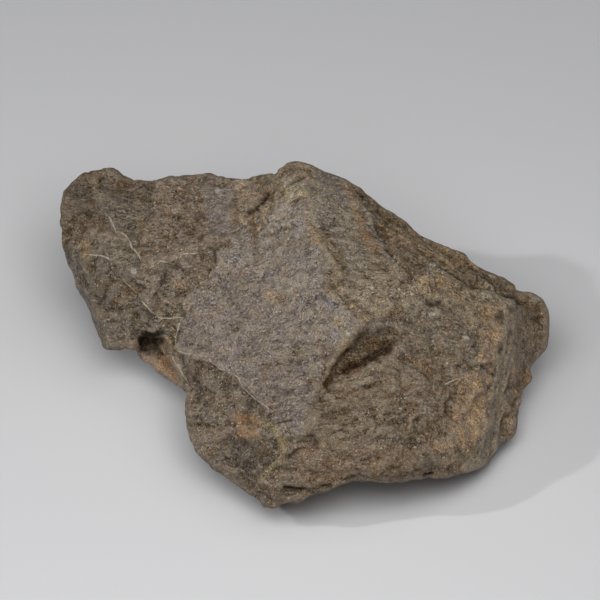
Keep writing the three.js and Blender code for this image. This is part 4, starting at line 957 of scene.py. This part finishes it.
def stoneMaterial():
    material = bpy.data.materials.new("meteoriteStone")
    material.use_nodes = True
    tree = material.node_tree
    tree.nodes.clear()
    n = Nodes(tree)
    shader = n.add("ShaderNodeBsdfPrincipled")
    n.add("ShaderNodeOutputMaterial", {"Surface": shader.outputs[0]})
    place = n.scaled(n.add("ShaderNodeTexCoord").outputs["Object"], 1 / mm)  # millimetres
    broken = n.field("breakRough")

    # colour: tone, grain and mottles
    swirled = n.strayed(place, finish["swirlSize"], 0.5, finish["swirlReach"])
    grain = n.noise(swirled, finish["grainSize"], 3.0, 0.75)
    fine = n.noise(place, finish["fineSize"], 3.0, 0.6)
    chipKind = chipGroup()
    chips = [
        n.add("ShaderNodeGroup", {"Place": place, "Size": size, "Slope": slope}, node_tree=chipKind)
        for size, slope in finish["chips"]
    ]
    light = n.times(
        n.remap(grain, 0.3, 0.7, *finish["grainSpread"], "LINEAR"),
        n.remap(fine, 0.3, 0.7, *finish["fineSpread"], "LINEAR"),
        n.remap(chips[1].outputs["Shade"], 0.2, 0.8, *finish["chipSpread"], "LINEAR"),
    )
    tone = n.field("tone", "Color")
    colour = n.scaled(tone, n.times(light, finish["toneLevel"]))
    ashy = n.scaled(finish["ash"], n.lightness(colour))
    colour = n.blend(n.remap(light, *finish["ashFrom"], 0.0, finish["ashShare"]), colour, ashy)
    warmth = n.remap(n.noise(place, finish["mottleSize"], 4.0, 0.65), 0.38, 0.62)
    mottle = n.blend(warmth, finish["coolMottle"], finish["warmMottle"])
    colour = n.blend(1.0, colour, mottle, "MULTIPLY")

    # the marks; none shows on what is quite dark
    lit = n.remap(n.lightness(tone), finish["darkest"], finish["lightest"], 0.08, 1.0)
    for markColour, size, share, low, high, clean in finish["marks"]:
        shiftedPlace = n.vector("ADD", place, (low * 40, high * 70, low * 90))
        mask = n.remap(n.noise(shiftedPlace, size, 2.0, 0.6), low, high)
        strength = n.remap(broken, 0.3, 1.0, share * clean, share)
        colour = n.blend(n.times(mask, strength, lit), colour, markColour)
    hairKind = hairGroup()
    hairRises = []
    for hairColour, size, width, share, stretch, rise in finish["hairs"]:
        inputs = {"Place": n.vector("MULTIPLY", place, stretch), "Size": size, "Width": width}
        hair = n.add("ShaderNodeGroup", inputs, node_tree=hairKind)
        colour = n.blend(n.times(hair.outputs[0], share, lit), colour, hairColour)
        hairRises.append(n.times(hair.outputs[0], rise))
    # painted shade in the hollows and the cracks, and lighter worn arrises
    for name, (markColour, share) in finish["shapeMarks"].items():
        colour = n.blend(n.times(n.field(name), share, lit), colour, markColour)
    veinKind = veinGroup()
    for i in range(len(veins)):
        inputs = {
            "Away": n.field(f"veinAway{i}"), "Share": n.field(f"veinShare{i}"), "Place": place,
            "Half Width": finish["veinWidth"],
        }
        vein = n.add("ShaderNodeGroup", inputs, node_tree=veinKind)
        colour = n.blend(n.times(vein.outputs[0], finish["veinShare"]), colour, finish["veinColour"])
    # the bright grains, and the painted glints on the glint patch and the peak's face
    speckAndGlintStray = n.times(n.math("SUBTRACT", n.noise(place, 0.45, 2.0, 0.7), 0.5), finish["speckAndGlintWander"])
    speckleAndGlints = n.remap(n.math("ADD", n.field("speckAndGlintAway"), speckAndGlintStray), 0.05, -0.1)
    colour = n.blend(n.times(speckleAndGlints, finish["speckAndGlintShare"]), colour, finish["speckAndGlintColour"])
    n.feed(shader.inputs["Base Color"], colour)

    # shine
    shine = n.remap(broken, 0.3, 0.8, finish["smoothShine"], finish["brokenShine"])
    shown = n.remap(n.lightness(colour), finish["darkest"], finish["lightest"], 0.1, 1.0)
    n.feed(shader.inputs["Specular IOR Level"], n.times(shine, shown))
    gloss = n.remap(broken, 0.3, 0.8, finish["smoothGloss"], finish["brokenGloss"])
    grainGloss = n.remap(grain, 0.3, 0.7, -0.08, 0.1, "LINEAR")
    n.feed(shader.inputs["Roughness"], n.math("ADD", gloss, grainGloss, clamp=True))

    # relief finer than the mesh
    bedSize = (finish["bedLength"], finish["bedGap"], finish["bedLength"])
    beds = n.noise(n.vector("DIVIDE", n.field("bedPlace", "Vector"), bedSize), 1.0)
    relief = n.times(n.math("ADD", grain, fine), finish["grit"])
    chipRises = [n.times(chip.outputs["Height"], broken) for chip in chips]
    bedRise = n.times(n.remap(beds, 0.42, 0.58), n.field("bedShare"), finish["bedHeight"])
    for rise in (*hairRises, *chipRises, bedRise):
        relief = n.math("ADD", relief, rise)
    bump = n.add("ShaderNodeBump", {"Height": relief, "Strength": 1.0, "Distance": mm})
    n.feed(shader.inputs["Normal"], bump.outputs[0])
    return material


mesh.materials.append(stoneMaterial())
print("stone: finish on")

# Floor, lights and camera.
setting = {
    "floorSize": 3.0,
    "floorColour": (0.60, 0.60, 0.61, 1),
    "floorRoughness": 0.8,
    "middle": (-0.5, 25.5, 0.0),  # on the board, at the middle of the view
    "viewWidth": 75.0,
    "sensorWidth": 36.0,
    "cameraAway": 2000.0,
    "worldColour": (0.9, 0.95, 1, 1),
    "worldStrength": 0.02,
    "lampAim": (0, 0, 0.01),  # metres, as are the lamps' own numbers
}

# Place, width, height and watts of each lamp.
lamps = {
    "key": ((-0.296, -0.068, 0.260), 0.014, 0.014, 0.40),
    "front": ((0.0, -0.25, 0.32), 0.25, 0.25, 0.45),
    "right": ((0.15, 0.0, 0.32), 0.25, 0.25, 0.22),
    "overhead": ((-0.01, -0.10, 0.20), 0.21, 0.12, 0.30),
}


def makeFloor():
    bm = bmesh.new()
    bmesh.ops.create_grid(bm, x_segments=1, y_segments=1, size=setting["floorSize"] / 2)
    floorMesh = bpy.data.meshes.new("floor")
    bm.to_mesh(floorMesh)
    bm.free()
    floor = bpy.data.objects.new("floor", floorMesh)
    bpy.context.scene.collection.objects.link(floor)
    material = bpy.data.materials.new("floor")
    material.use_nodes = True
    shader = material.node_tree.nodes["Principled BSDF"]
    shader.inputs["Base Color"].default_value = setting["floorColour"]
    shader.inputs["Roughness"].default_value = setting["floorRoughness"]
    floorMesh.materials.append(material)


def makeLamp(name, place, width, height, watts):
    data = bpy.data.lights.new(name, "AREA")
    data.shape = "RECTANGLE"
    data.size = width
    data.size_y = height
    data.energy = watts
    lamp = bpy.data.objects.new(name, data)
    lamp.location = place
    lamp.rotation_euler = (Vector(setting["lampAim"]) - Vector(place)).to_track_quat("-Z", "Y").to_euler()
    bpy.context.scene.collection.objects.link(lamp)


makeFloor()
for name, given in lamps.items():
    makeLamp(name, *given)

world = bpy.data.worlds.new("studio")
bpy.context.scene.world = world
world.use_nodes = True
world.node_tree.nodes["Background"].inputs["Color"].default_value = setting["worldColour"]
world.node_tree.nodes["Background"].inputs["Strength"].default_value = setting["worldStrength"]

cameraData = bpy.data.cameras.new("camera")
cameraData.sensor_width = setting["sensorWidth"]
cameraData.lens = setting["sensorWidth"] * setting["cameraAway"] / setting["viewWidth"]
cameraData.clip_end = 10
camera = bpy.data.objects.new("camera", cameraData)
u, v, w = setting["middle"]
camera.location = offBoard(u, v, w + setting["cameraAway"])
camera.rotation_euler = (math.pi / 2 - board["tilt"], 0, 0)
bpy.context.scene.collection.objects.link(camera)
bpy.context.scene.camera = camera
bpy.context.scene.view_settings.view_transform = "Standard"
print("stage set")
